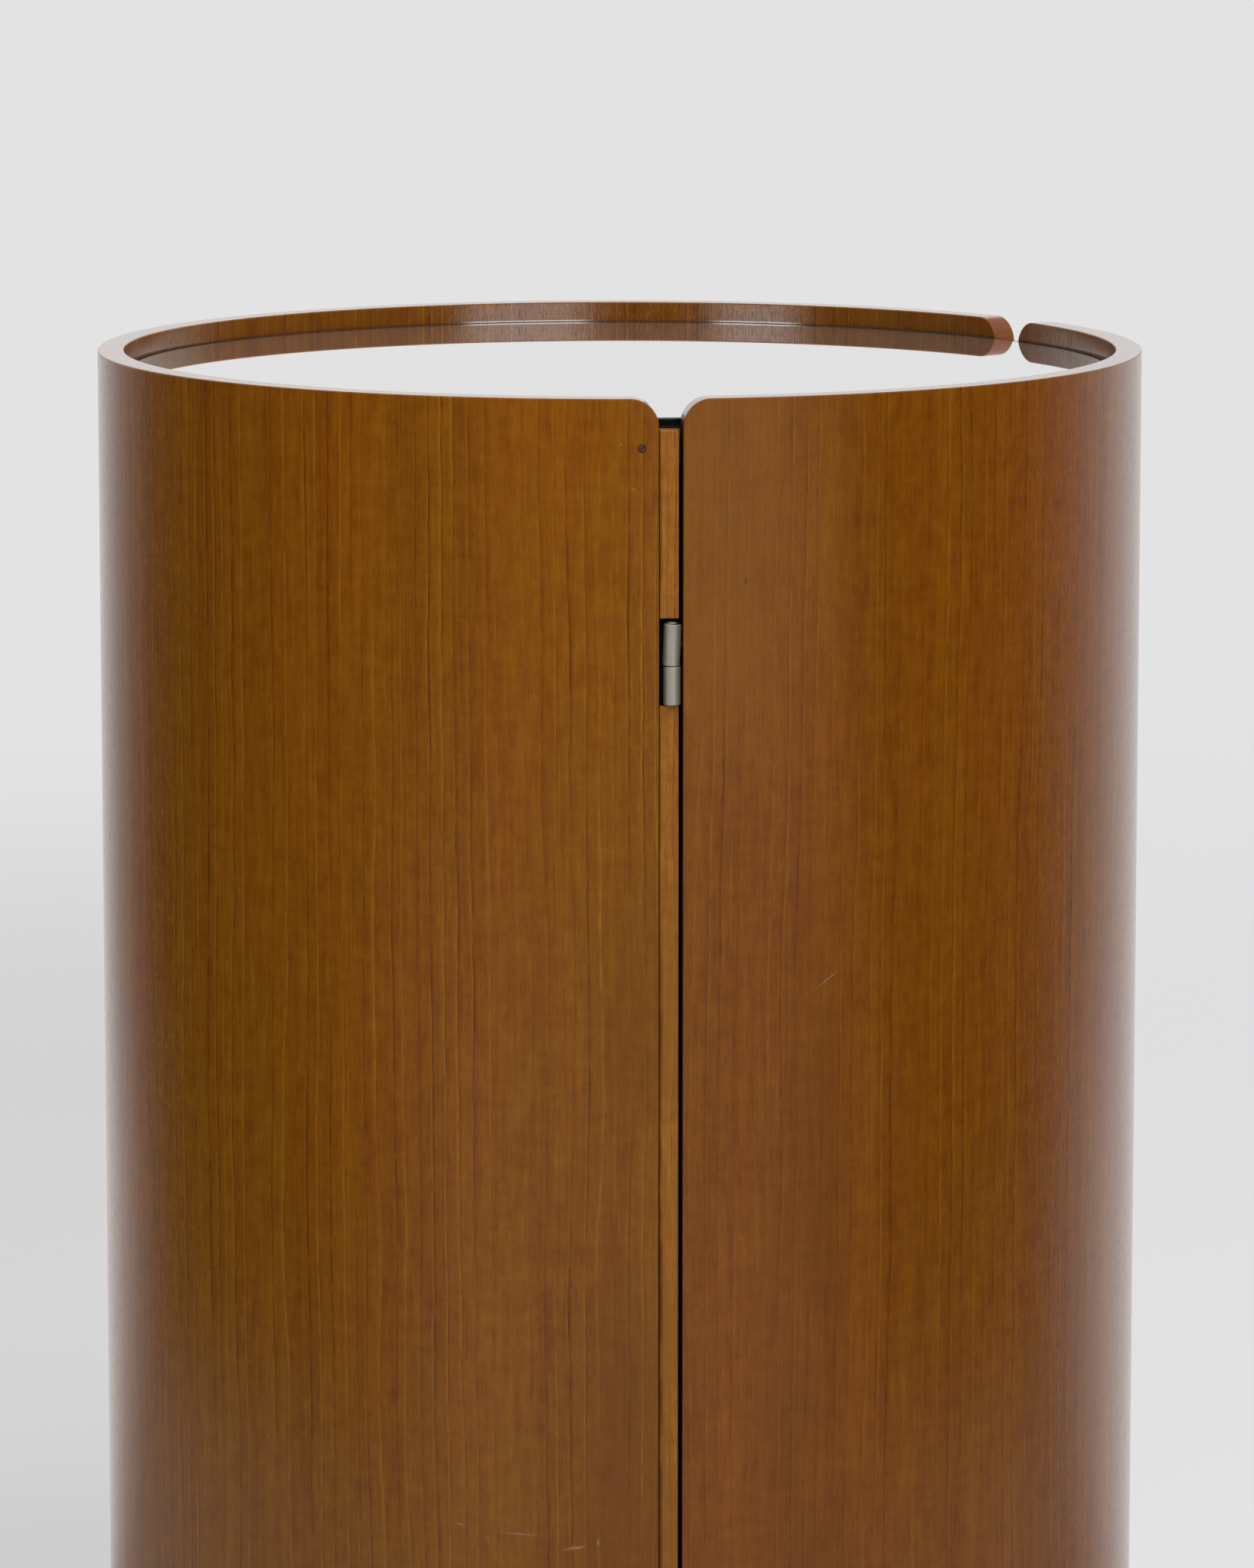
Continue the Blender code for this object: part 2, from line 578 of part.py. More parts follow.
def build_catch(carcass, door, top_panel, door_shell):
    """A magnet under the top panel, and the steel plate that it holds on the door."""
    azimuth = DOOR_END - CATCH_INSET / OUTER_RADIUS
    plate_face = INNER_RADIUS - FIT - PLATE_THICKNESS
    catch_face = plate_face - FIT
    catch_high = TOP_PANEL_UNDERSIDE - FIT
    catch_low = catch_high - CATCH_HEIGHT
    half_catch = CATCH_WIDTH / 2 / INNER_RADIUS
    half_plate = PLATE_WIDTH / 2 / INNER_RADIUS
    catch_mesh = curved_block("magnet_catch", catch_face - CATCH_DEPTH, catch_face,
                              azimuth - half_catch, azimuth + half_catch, catch_low, catch_high)
    plate_mesh = curved_block("strike_plate", plate_face, plate_face + PLATE_THICKNESS,
                              azimuth - half_plate, azimuth + half_plate, catch_low, catch_high)
    catch = add_object("magnet_catch", catch_mesh, carcass, PLASTIC)
    plate = add_object("strike_plate", plate_mesh, door, STEEL)
    add_screw("catch_screw", carcass, STEEL, polar(catch_face - CATCH_DEPTH / 2, azimuth, catch_low),
              Vector((0, 0, 1)), CATCH_SCREW_LENGTH, [catch, top_panel])
    add_screw("plate_screw", door, STEEL, polar(plate_face, azimuth, (catch_low + catch_high) / 2),
              polar(1.0, azimuth), PLATE_SCREW_LENGTH, [plate, door_shell])


def build_shell_screws(carcass, fixed_shell, top_panel, bottom_panel):
    """Screws through the fixed shell into the edges of both panels."""
    edge = SHELL_SCREW_EDGE / OUTER_RADIUS
    last_hidden = SHELL_END - SEEN_SHELL_ANGLE
    places = [SHELL_END - edge]
    first_hidden = SHELL_START + edge
    places += span(first_hidden, last_hidden, (last_hidden - first_hidden) / (SHELL_SCREW_COUNT - 2))
    middles = (("top", top_panel, (TOP_PANEL_TOP + TOP_PANEL_UNDERSIDE) / 2),
               ("bottom", bottom_panel, (BOTTOM_PANEL_TOP + BOTTOM_PANEL_UNDERSIDE) / 2))
    for label, panel, height in middles:
        for number, azimuth in enumerate(places):
            add_screw(f"{label}_screw_{number + 1}", carcass, SCREW_BROWN,
                      polar(OUTER_RADIUS, azimuth, height), -polar(1.0, azimuth),
                      SHELL_SCREW_LENGTH, [fixed_shell, panel], SHELL_SLOT_TURN)


def build_cabinet():
    clear_scene()
    carcass = bpy.data.objects.new("carcass", None)
    door = bpy.data.objects.new("door", None)
    door.location = polar(HINGE_RADIUS, HINGE_AZIMUTH)
    for empty in (carcass, door):
        bpy.context.scene.collection.objects.link(empty)
    bpy.context.view_layer.update()

    fixed_shell, door_shell = build_shells(carcass, door)
    top_panel, bottom_panel = build_top_and_bottom(carcass)
    build_base(carcass, bottom_panel)
    front_batten, strip = build_posts(carcass)
    for label, height in (("upper_hinge", UPPER_HINGE_Z), ("lower_hinge", LOWER_HINGE_Z)):
        build_hinge(label, height, carcass, door, strip, front_batten, door_shell)
    build_shelves(carcass, fixed_shell)
    build_trays(door, door_shell)
    build_catch(carcass, door, top_panel, door_shell)
    build_shell_screws(carcass, fixed_shell, top_panel, bottom_panel)
    bpy.context.view_layer.update()


build_cabinet()
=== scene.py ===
import json
import math

import bmesh
import bpy
from mathutils import Matrix, Vector


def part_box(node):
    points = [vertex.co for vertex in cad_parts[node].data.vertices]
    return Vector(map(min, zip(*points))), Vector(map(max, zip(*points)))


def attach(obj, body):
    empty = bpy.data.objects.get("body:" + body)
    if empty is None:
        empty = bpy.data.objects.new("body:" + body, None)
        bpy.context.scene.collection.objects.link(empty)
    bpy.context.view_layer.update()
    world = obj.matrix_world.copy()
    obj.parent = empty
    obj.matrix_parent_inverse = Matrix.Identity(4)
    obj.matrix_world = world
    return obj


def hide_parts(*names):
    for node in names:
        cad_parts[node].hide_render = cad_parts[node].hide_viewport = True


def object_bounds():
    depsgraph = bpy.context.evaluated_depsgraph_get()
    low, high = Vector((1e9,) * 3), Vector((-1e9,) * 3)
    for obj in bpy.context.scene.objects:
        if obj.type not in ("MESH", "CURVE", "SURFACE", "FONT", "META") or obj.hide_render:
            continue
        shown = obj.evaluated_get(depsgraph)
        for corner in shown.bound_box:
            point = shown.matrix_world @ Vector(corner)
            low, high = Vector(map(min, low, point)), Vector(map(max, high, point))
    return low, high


# The finished look of a round bar cabinet: bent brown veneer, one curved door, a mirror let in below the rim.
# Metres, +Z up. An azimuth is measured from the front (-Y) and grows towards the right-hand side (+X).

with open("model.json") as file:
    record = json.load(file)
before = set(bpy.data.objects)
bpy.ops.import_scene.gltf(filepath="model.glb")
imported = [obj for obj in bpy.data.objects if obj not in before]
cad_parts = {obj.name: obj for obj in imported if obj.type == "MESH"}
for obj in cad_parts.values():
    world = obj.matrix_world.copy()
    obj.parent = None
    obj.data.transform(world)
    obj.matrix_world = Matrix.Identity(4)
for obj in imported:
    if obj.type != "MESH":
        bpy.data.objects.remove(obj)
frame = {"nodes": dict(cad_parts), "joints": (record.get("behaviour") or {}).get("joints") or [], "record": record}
cadLow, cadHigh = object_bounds()

cabinet = {
    "radius": min(abs(value) for value in (*cadLow.xy, *cadHigh.xy)),   # stays inside the frame's box
    "grainSeam": math.radians(125.7),       # in the rear gap, where the grain's coordinates start over
    "column": math.radians(1.5),            # facet of a bent board
    "smoothUnder": math.radians(40),
    "sharpOver": math.radians(60),
}
up = Vector((0.0, 0.0, 1.0))
slotOf = {part["node"]: part["material_slot"] for part in frame["record"]["subparts"]}
bodyOf = {node: name for name, members in frame["record"]["behaviour"]["bodies"].items() for node in members}


# Places and sizes

def polar(radius, azimuth, height=0.0):
    return Vector((radius * math.sin(azimuth), -radius * math.cos(azimuth), height))


def ringOf(node):
    # how far in and out, how far round and how low and high a node reaches
    points = [vertex.co for vertex in frame["nodes"][node].data.vertices]
    reaches = [math.hypot(point.x, point.y) for point in points]
    seam = cabinet["grainSeam"]
    turns = sorted((math.atan2(point.x, -point.y) - seam) % math.tau + seam for point in points)
    steps = [later - sooner for sooner, later in zip(turns, turns[1:])] + [turns[0] + math.tau - turns[-1]]
    widest = steps.index(max(steps))        # the node starts behind its widest open stretch
    start = turns[(widest + 1) % len(turns)]
    end = turns[widest] if start < turns[widest] else turns[widest] + math.tau
    heights = [point.z for point in points]
    return {"inner": min(reaches), "outer": min(max(reaches), cabinet["radius"]), "start": start,
            "end": end, "low": min(heights), "high": max(heights)}


def middleOf(ring):
    return (ring["start"] + ring["end"]) / 2


def placeIn(ring, radius):
    return polar(radius, middleOf(ring), (ring["low"] + ring["high"]) / 2)


def outwards(ring):
    return polar(1.0, middleOf(ring))


def centerAt(node, height):
    low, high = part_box(node)
    return Vector(((low.x + high.x) / 2, (low.y + high.y) / 2, height))


# Modelling steps

def onlySelect(piece):
    bpy.ops.object.select_all(action="DESELECT")
    piece.select_set(True)
    bpy.context.view_layer.objects.active = piece


def named(name):
    piece = bpy.context.object
    piece.name = name
    piece.data.name = name
    return piece


def newlyAdded(name):
    piece = named(name)
    bpy.ops.object.transform_apply()
    return piece


def startEdit(piece):
    onlySelect(piece)
    bpy.ops.object.mode_set(mode="EDIT")
    bpy.ops.mesh.select_all(action="SELECT")


def endEdit():
    bpy.ops.object.mode_set(mode="OBJECT")


def pickWhere(piece, kind, test):
    # selects the edges or faces that pass a test, and nothing else
    bpy.ops.mesh.select_mode(type=kind)
    bpy.ops.mesh.select_all(action="DESELECT")
    cage = bmesh.from_edit_mesh(piece.data)
    for item in {"EDGE": cage.edges, "FACE": cage.faces}[kind]:
        if test(item):
            item.select_set(True)
    bmesh.update_edit_mesh(piece.data)


def bevelSharp(width, segments):
    bpy.ops.mesh.select_mode(type="EDGE")
    bpy.ops.mesh.select_all(action="DESELECT")
    bpy.ops.mesh.edges_select_sharp(sharpness=cabinet["sharpOver"])
    bpy.ops.mesh.bevel(offset=width, segments=segments, affect="EDGES")


def applyModifier(piece, kind, **settings):
    modifier = piece.modifiers.new(kind, kind)
    for setting, value in settings.items():
        setattr(modifier, setting, value)
    onlySelect(piece)
    bpy.ops.object.modifier_apply(modifier=modifier.name)


def carve(piece, tool, operation="DIFFERENCE"):
    applyModifier(piece, "BOOLEAN", object=tool, operation=operation, solver="EXACT")
    bpy.data.objects.remove(tool)


def layAlong(piece, origin, direction):
    # lays the piece's own Z axis along a direction, then puts its place in its mesh
    turn = Vector(direction).to_track_quat("Z", "Y").to_matrix().to_4x4()
    piece.matrix_world = Matrix.Translation(origin) @ turn
    onlySelect(piece)
    bpy.ops.object.transform_apply()


def turnUpright(piece, azimuth):
    piece.rotation_euler.z = azimuth
    onlySelect(piece)
    bpy.ops.object.transform_apply()


def copyOf(pattern, name):
    onlySelect(pattern)
    bpy.ops.object.duplicate(linked=False)
    return named(name)


def smoothFinish(piece):
    startEdit(piece)
    bpy.ops.mesh.normals_make_consistent(inside=False)
    endEdit()
    bpy.ops.object.shade_smooth_by_angle(angle=cabinet["smoothUnder"])
    applyModifier(piece, "WEIGHTED_NORMAL", keep_sharp=True)


def boxPiece(name, low, high):
    low, high = Vector(low), Vector(high)
    bpy.ops.object.select_all(action="DESELECT")
    bpy.ops.mesh.primitive_cube_add(size=1.0, location=(low + high) / 2, scale=high - low)
    return newlyAdded(name)


def bentBoard(node, corner=0.0, cornerSteps=14, arris=0.001, arrisSteps=3):
    # a flat board with its outer face on y = 0, rounded and cut into columns, then bent round the body's axis
    ring = ringOf(node)
    bend = ring["end"] - ring["start"]
    length = bend * ring["outer"]
    wall = ring["outer"] - ring["inner"]
    piece = boxPiece(node + "_fine", (-length / 2, 0.0, ring["low"]), (length / 2, wall, ring["high"]))
    startEdit(piece)
    if corner:
        pickWhere(piece, "EDGE", lambda edge: abs(edge.verts[0].co.y - edge.verts[1].co.y) > wall / 2)
        bpy.ops.mesh.bevel(offset=corner, segments=cornerSteps, affect="EDGES")
    bevelSharp(arris, arrisSteps)
    columns = math.ceil(bend / cabinet["column"])
    for column in range(1, columns):
        bpy.ops.mesh.select_all(action="SELECT")
        bpy.ops.mesh.bisect(plane_co=(length * (column / columns - 0.5), 0.0, 0.0), plane_no=(1.0, 0.0, 0.0))
    endEdit()
    applyModifier(piece, "SIMPLE_DEFORM", deform_method="BEND", deform_axis="Z", angle=bend)
    piece.location = polar(ring["outer"], middleOf(ring))
    turnUpright(piece, middleOf(ring))
    return piece


def startCircle(name, sides, radius, place, fill="NGON"):
    bpy.ops.object.select_all(action="DESELECT")
    bpy.ops.mesh.primitive_circle_add(vertices=sides, radius=radius, fill_type=fill, location=place)
    piece = newlyAdded(name)
    startEdit(piece)
    return piece


def drawUp(rise):
    bpy.ops.mesh.extrude_region_move(TRANSFORM_OT_translate={"value": (0.0, 0.0, rise)})


def turnedPiece(name, sides, profile):
    # a round face drawn up ring by ring; the profile is (radius, height) from the bottom to the top
    radius, height = profile[0]
    piece = startCircle(name, sides, radius, (0.0, 0.0, height))
    for nextRadius, nextHeight in profile[1:]:
        growth = nextRadius / radius
        drawUp(nextHeight - height)
        bpy.ops.transform.resize(value=(growth, growth, 1.0), center_override=(0.0, 0.0, nextHeight))
        radius, height = nextRadius, nextHeight
    bpy.ops.mesh.select_all(action="SELECT")
    bpy.ops.mesh.normals_make_consistent(inside=False)
    endEdit()
    return piece


def roundedRod(radius, low, high, edge, steps):
    # the profile of a rod with rounded ends
    turns = [math.pi / 2 * step / steps for step in range(steps + 1)]
    lower = [(radius - edge + edge * math.sin(turn), low + edge - edge * math.cos(turn)) for turn in turns]
    upper = [(reach, low + high - height) for reach, height in reversed(lower)]
    return lower + upper


def dress(piece, node, *materials):
    # finishes the surface, hands over the materials and ties the piece to the node that it stands for
    smoothFinish(piece)
    piece.data.materials.clear()
    for material in materials:
        piece.data.materials.append(material)
    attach(piece, bodyOf[node])
    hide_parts(node)


def paintFaces(piece, index, test):
    for face in piece.data.polygons:
        if test(face):
            face.material_index = index


def facesOutOrIn(face, share=0.985):
    # true on the curved faces of a bent board, false on its edges, arrises and ends
    level = Vector((face.center.x, face.center.y, 0.0)).normalized()
    return abs(face.normal.dot(level)) > share


# Shader building

def addNode(tree, kind, inputs=None, **settings):
    node = tree.nodes.new("ShaderNode" + kind)
    for setting, value in settings.items():
        setattr(node, setting, value)
    for socket, value in (inputs or {}).items():
        feed(tree, value, node.inputs[socket])
    return node


def feed(tree, value, socket):
    if isinstance(value, bpy.types.NodeSocket):
        tree.links.new(value, socket)
    else:
        socket.default_value = (*value, 1.0) if socket.type == "RGBA" else value


def calc(tree, operation, *values):
    node = addNode(tree, "Math", operation=operation)
    for value, socket in zip(values, node.inputs):
        feed(tree, value, socket)
    return node.outputs[0]


def times(tree, first, second):
    return calc(tree, "MULTIPLY", first, second)


def ease(tree, value, low, high, lowest=0.0, highest=1.0):
    # a soft step from lowest to highest between two values; low may be above high
    ends = (high, low, highest, lowest) if low > high else (low, high, lowest, highest)
    node = addNode(tree, "MapRange", interpolation_type="SMOOTHSTEP")
    for value, socket in zip((value, *ends), node.inputs):
        feed(tree, value, socket)
    return node.outputs[0]


def between(tree, value, rise, fall):
    # high between two soft steps
    return times(tree, ease(tree, value, *rise), ease(tree, value, *fall))


def mixColors(tree, factor, first, second, kind="MIX"):
    node = addNode(tree, "Mix", data_type="RGBA", blend_type=kind)
    for value, socket in ((factor, node.inputs[0]), (first, node.inputs[6]), (second, node.inputs[7])):
        feed(tree, value, socket)
    return node.outputs[2]


def axesOf(tree, vector):
    return addNode(tree, "SeparateXYZ", {"Vector": vector}).outputs


def lengthOf(tree, vector):
    return addNode(tree, "VectorMath", {0: vector}, operation="LENGTH").outputs["Value"]


def grainNoise(tree, along, height, seed, across, lengthways, detail=2.0, roughness=0.5):
    # a noise that is stretched along the grain
    place = addNode(tree, "CombineXYZ", {
        "X": times(tree, along, across), "Y": times(tree, height, lengthways), "Z": seed}).outputs[0]
    return addNode(tree, "TexNoise", {"Vector": place, "Scale": 1.0, "Detail": detail,
                                      "Roughness": roughness}).outputs[0]


def newGroup(name, inputs, outputs):
    group = bpy.data.node_groups.new(name, "ShaderNodeTree")
    for socket, value in inputs.items():
        kind = "Vector" if value == "vector" else "Color" if isinstance(value, tuple) else "Float"
        made = group.interface.new_socket(name=socket, in_out="INPUT", socket_type="NodeSocket" + kind)
        if value != "vector":
            made.default_value = (*value, 1.0) if kind == "Color" else value
    for socket, kind in outputs.items():
        group.interface.new_socket(name=socket, in_out="OUTPUT", socket_type="NodeSocket" + kind)
    return group, group.nodes.new("NodeGroupInput").outputs, group.nodes.new("NodeGroupOutput").inputs


def useGroup(tree, group, inputs):
    node = tree.nodes.new("ShaderNodeGroup")
    node.node_tree = group
    for socket, value in inputs.items():
        feed(tree, value, node.inputs[socket])
    return node.outputs


def makeBarrelCoords():
    # unrolls the body: metres along its outer face from the front, and height
    group, given, result = newGroup("barrelCoords", {"Vector": "vector"},
                                    {"Along": "Float", "Height": "Float"})
    turn = math.pi - cabinet["grainSeam"]
    turned = addNode(group, "VectorRotate", {"Vector": given["Vector"], "Angle": turn},
                     rotation_type="Z_AXIS").outputs[0]
    axes = axesOf(group, turned)
    azimuth = calc(group, "ARCTAN2", axes["X"], times(group, axes["Y"], -1.0))
    feed(group, times(group, calc(group, "SUBTRACT", azimuth, turn), cabinet["radius"]), result["Along"])
    feed(group, axes["Z"], result["Height"])
    return group


lineForm = {
    # how the lines wander: scale across and along the grain, detail, roughness, metres
    "wander": ((4.0, 1.6, 2.0, 0.5, 0.022), (30.0, 12.0, 4.0, 0.6, 0.0046), (60.0, 0.0, 1.0, 0.5, 0.011)),
    "weakest": 0.15, "lineStep": 7.31,
    "fading": (1.0, 3.2), "fade": (0.38, 0.6, 0.25, 1.0),
    "breaking": (90.0, 70.0, 3.0, 0.6), "breaks": (0.32, 0.62, 0.35, 1.25),
    "light": (0.72, 1.0), "lightPower": 1.5, "dark": (0.34, 0.0), "darkPower": 1.4,
}


def makeGrowthLines():
    # pairs of a light and a dark line at uneven spacing, which drift sideways and fade along the grain
    group, given, result = newGroup(
        "growthLines", {"Along": 0.0, "Height": 0.0, "Spacing": 0.008, "Side": 0.0, "Seed": 0.0},
        {"Light": "Float", "Dark": "Float"})
    along, height, seed = given["Along"], given["Height"], given["Seed"]
    moved = along
    for *layer, metres in lineForm["wander"]:
        moved = calc(group, "MULTIPLY_ADD", grainNoise(group, along, height, seed, *layer), metres, moved)
    phase = calc(group, "DIVIDE", moved, given["Spacing"])
    cell = calc(group, "FLOOR", phase)
    share = calc(group, "ABSOLUTE", calc(group, "SUBTRACT", calc(group, "FRACT", phase), given["Side"]))
    chance = addNode(group, "TexWhiteNoise", {"W": calc(group, "ADD", cell, seed)},
                     noise_dimensions="1D").outputs["Value"]
    strength = ease(group, chance, 0.0, 1.0, lineForm["weakest"], 1.0)
    fading = grainNoise(group, times(group, cell, lineForm["lineStep"]), height, seed, *lineForm["fading"])
    strength = times(group, strength, ease(group, fading, *lineForm["fade"]))
    broken = grainNoise(group, along, height, seed, *lineForm["breaking"])
    strength = times(group, strength, ease(group, broken, *lineForm["breaks"]))
    light = calc(group, "POWER", ease(group, share, *lineForm["light"]), lineForm["lightPower"])
    dark = calc(group, "POWER", ease(group, share, *lineForm["dark"]), lineForm["darkPower"])
    feed(group, times(group, light, strength), result["Light"])
    feed(group, times(group, dark, strength), result["Dark"])
    return group


figures = {
    # scale across and along the grain, detail and roughness
    "tone": (9.0, 1.4, 3.0), "bands": (60.0, 2.0), "streaks": (260.0, 22.0, 3.0, 0.65),
    "fibre": (900.0, 80.0, 3.0, 0.65), "mottle": (110.0, 75.0, 5.0, 0.7), "ripple": (45.0, 150.0, 3.0, 0.65),
    "pores": (2200.0, 150.0, 1.0), "flecks": (420.0, 800.0),
}
veneerMix = {
    "toneSteps": (0.34, 0.66), "poreSteps": (0.6, 0.74), "fleckSteps": (0.735, 0.8),
    "shading": {"bands": 0.5, "streaks": 0.66, "fibre": 0.28, "mottle": 0.72, "ripple": 0.28},
    "redShare": 0.8, "restShare": 1.35,        # how far the shading moves each channel
    "laidOver": {"broadDark": 0.82, "fineDark": 0.34, "broadLight": 0.5, "fineLight": 0.26,
                 "poresDark": 0.26, "flecksLight": 0.5},
    "fineSpacing": 0.43, "fineSeed": 31.0, "fibreDull": 0.1, "poreDull": 0.08, "poreDepth": 0.8,
}


def makeVeneer(growthLines):
    # stained veneer: tone bands, growth lines, streaks, pores, mottling and a faint ripple across the grain
    group, given, result = newGroup(
        "veneer", {"Along": 0.0, "Height": 0.0, "Base": (0.17, 0.06, 0.01),
                   "Warm": (0.18, 0.06, 0.01), "Light Line": (0.3, 0.15, 0.05),
                   "Dark Line": (0.08, 0.03, 0.01), "Spacing": 0.008, "Side": 0.0, "Seed": 0.0,
                   "Contrast": 1.0, "Roughness": 0.35},
        {"Color": "Color", "Roughness": "Float", "Height": "Float"})
    along, height, seed, contrast = given["Along"], given["Height"], given["Seed"], given["Contrast"]

    def lines(spacing, seedStep):
        return useGroup(group, growthLines, {
            "Along": along, "Height": height, "Spacing": spacing, "Side": given["Side"],
            "Seed": calc(group, "ADD", seed, seedStep)})

    broad = lines(given["Spacing"], 0.0)
    fine = lines(times(group, given["Spacing"], veneerMix["fineSpacing"]), veneerMix["fineSeed"])
    layers = {name: grainNoise(group, along, height, seed, *scales) for name, scales in figures.items()}
    warmth = ease(group, layers["tone"], *veneerMix["toneSteps"])
    color = mixColors(group, warmth, given["Base"], given["Warm"])
    shading = 0.0
    for name, amount in veneerMix["shading"].items():
        centred = times(group, calc(group, "SUBTRACT", layers[name], 0.5), amount)
        shading = calc(group, "ADD", centred, shading)
    shading = times(group, shading, contrast)
    red = calc(group, "MULTIPLY_ADD", shading, veneerMix["redShare"], 1.0)
    rest = calc(group, "MULTIPLY_ADD", shading, veneerMix["restShare"], 1.0)
    tint = addNode(group, "CombineColor", {"Red": red, "Green": rest, "Blue": rest}).outputs[0]
    color = mixColors(group, 1.0, color, tint, "MULTIPLY")
    pores = ease(group, layers["pores"], *veneerMix["poreSteps"])
    flecks = ease(group, layers["flecks"], *veneerMix["fleckSteps"])
    masks = {"broadDark": broad["Dark"], "fineDark": fine["Dark"], "broadLight": broad["Light"],
             "fineLight": fine["Light"], "poresDark": pores, "flecksLight": flecks}
    for name, share in veneerMix["laidOver"].items():
        amount = times(group, times(group, masks[name], share), contrast)
        color = mixColors(group, amount, color, given["Dark Line" if name.endswith("Dark") else "Light Line"])
    feed(group, color, result["Color"])
    dull = calc(group, "MULTIPLY_ADD", calc(group, "SUBTRACT", layers["fibre"], 0.5), veneerMix["fibreDull"],
                given["Roughness"])
    feed(group, calc(group, "MULTIPLY_ADD", pores, veneerMix["poreDull"], dull), result["Roughness"])
    relief = calc(group, "SUBTRACT", layers["fibre"], times(group, pores, veneerMix["poreDepth"]))
    feed(group, relief, result["Height"])
    return group


markForm = {"seed": 5.0, "lengthways": 0.4, "fade": (1.0, 0.3), "breaks": (0.3, 0.6, 0.25, 1.0)}


def makeMark():
    # an oval mark on the unrolled face, turned by an angle and broken up along its length
    group, given, result = newGroup(
        "mark", {"Along": 0.0, "Height": 0.0, "Center Along": 0.0, "Center Height": 0.0,
                 "Length": 0.01, "Width": 0.001, "Turn": 0.0, "Grit": 900.0}, {"Mask": "Float"})
    offset = addNode(group, "CombineXYZ", {
        "X": calc(group, "SUBTRACT", given["Along"], given["Center Along"]),
        "Y": calc(group, "SUBTRACT", given["Height"], given["Center Height"])}).outputs[0]
    turned = addNode(group, "VectorRotate", {"Vector": offset, "Angle": given["Turn"]},
                     rotation_type="Z_AXIS").outputs[0]
    axes = axesOf(group, turned)
    reach = addNode(group, "CombineXYZ", {
        "X": calc(group, "DIVIDE", axes["X"], given["Length"]),
        "Y": calc(group, "DIVIDE", axes["Y"], given["Width"])}).outputs[0]
    broken = grainNoise(group, given["Along"], given["Height"], markForm["seed"], given["Grit"],
                        times(group, given["Grit"], markForm["lengthways"]))
    mask = times(group, ease(group, lengthOf(group, reach), *markForm["fade"]),
                 ease(group, broken, *markForm["breaks"]))
    feed(group, mask, result["Mask"])
    return group


def principled(name, uniform):
    # a material whose uniform values sit on the shader's own sockets
    material = bpy.data.materials.new(name)
    material.use_nodes = True
    shader = material.node_tree.nodes["Principled BSDF"]
    for socket, value in uniform.items():
        shader.inputs[socket].default_value = value
    return material, material.node_tree, shader.inputs


def cover(tree, shader, color, roughness, height, depth):
    bump = addNode(tree, "Bump", {"Height": height, "Distance": depth, "Strength": 1.0}).outputs[0]
    for socket, value in (("Base Color", color), ("Roughness", roughness), ("Normal", bump)):
        feed(tree, value, shader[socket])


def objectCoords(tree, turn=0.0):
    source = addNode(tree, "TexCoord").outputs["Object"]
    return addNode(tree, "Mapping", {"Vector": source, "Rotation": (0.0, 0.0, turn)}).outputs[0]


print("building the node groups")
barrelCoords = makeBarrelCoords()
growthLines = makeGrowthLines()
veneer = makeVeneer(growthLines)
mark = makeMark()


# Wood

bodyWood = {
    "base": (0.172, 0.059, 0.0006), "warm": (0.196, 0.057, 0.0018),
    "light": (0.33, 0.14, 0.006), "dark": (0.082, 0.022, 0.0006),
    "spacing": 0.0078, "side": 0.0, "seed": 3.0, "roughness": 0.18,
}
doorWood = {
    "base": (0.142, 0.0425, 0.0004), "warm": (0.162, 0.0445, 0.0016),
    "light": (0.26, 0.095, 0.006), "dark": (0.076, 0.019, 0.0006),
    "spacing": 0.0084, "side": 1.0, "seed": 17.0, "roughness": 0.18,
}
stripTones = {
    "base": (0.248, 0.091, 0.009), "warm": (0.292, 0.106, 0.012),
    "light": (0.43, 0.19, 0.04), "dark": (0.09, 0.028, 0.003),
    "spacing": 0.0036, "side": 0.0, "seed": 41.0, "contrast": 1.3, "roughness": 0.42,
}
innerWood = {
    "base": (0.235, 0.105, 0.034), "warm": (0.275, 0.128, 0.042),
    "light": (0.36, 0.19, 0.08), "dark": (0.13, 0.055, 0.018),
    "spacing": 0.009, "side": 0.0, "seed": 59.0, "contrast": 0.8, "roughness": 0.48,
}
edgeTones = {"contrast": 0.4, "roughness": 0.3}
rimTones = {"base": (0.14, 0.046, 0.0016), "warm": (0.16, 0.048, 0.003), "roughness": 0.13,
            "glassLevel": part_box("mirror_top")[1].z}
endTones = {"base": (0.15, 0.045, 0.014), "warm": (0.175, 0.054, 0.018), "contrast": 0.6,
            "roughness": 0.34}
# painted shade: a near-black veneer for the faces in the front seam and inside the hinge notches
seamShadeTones = {"base": (0.012, 0.0055, 0.0022), "warm": (0.02, 0.009, 0.0036), "contrast": 0.0,
             "roughness": 0.6}
grain = {"depth": 0.00006, "boardTurn": math.radians(-25), "battenSeed": 71.0}
# where the rim's inner face meets the glass, a line of painted shade: heights above the glass, its strength, and
# arcs in metres from the back
glassLine = {"heights": (0.0014, 0.0009), "contactShade": 0.55, "glossy": (0.34, 0.22)}
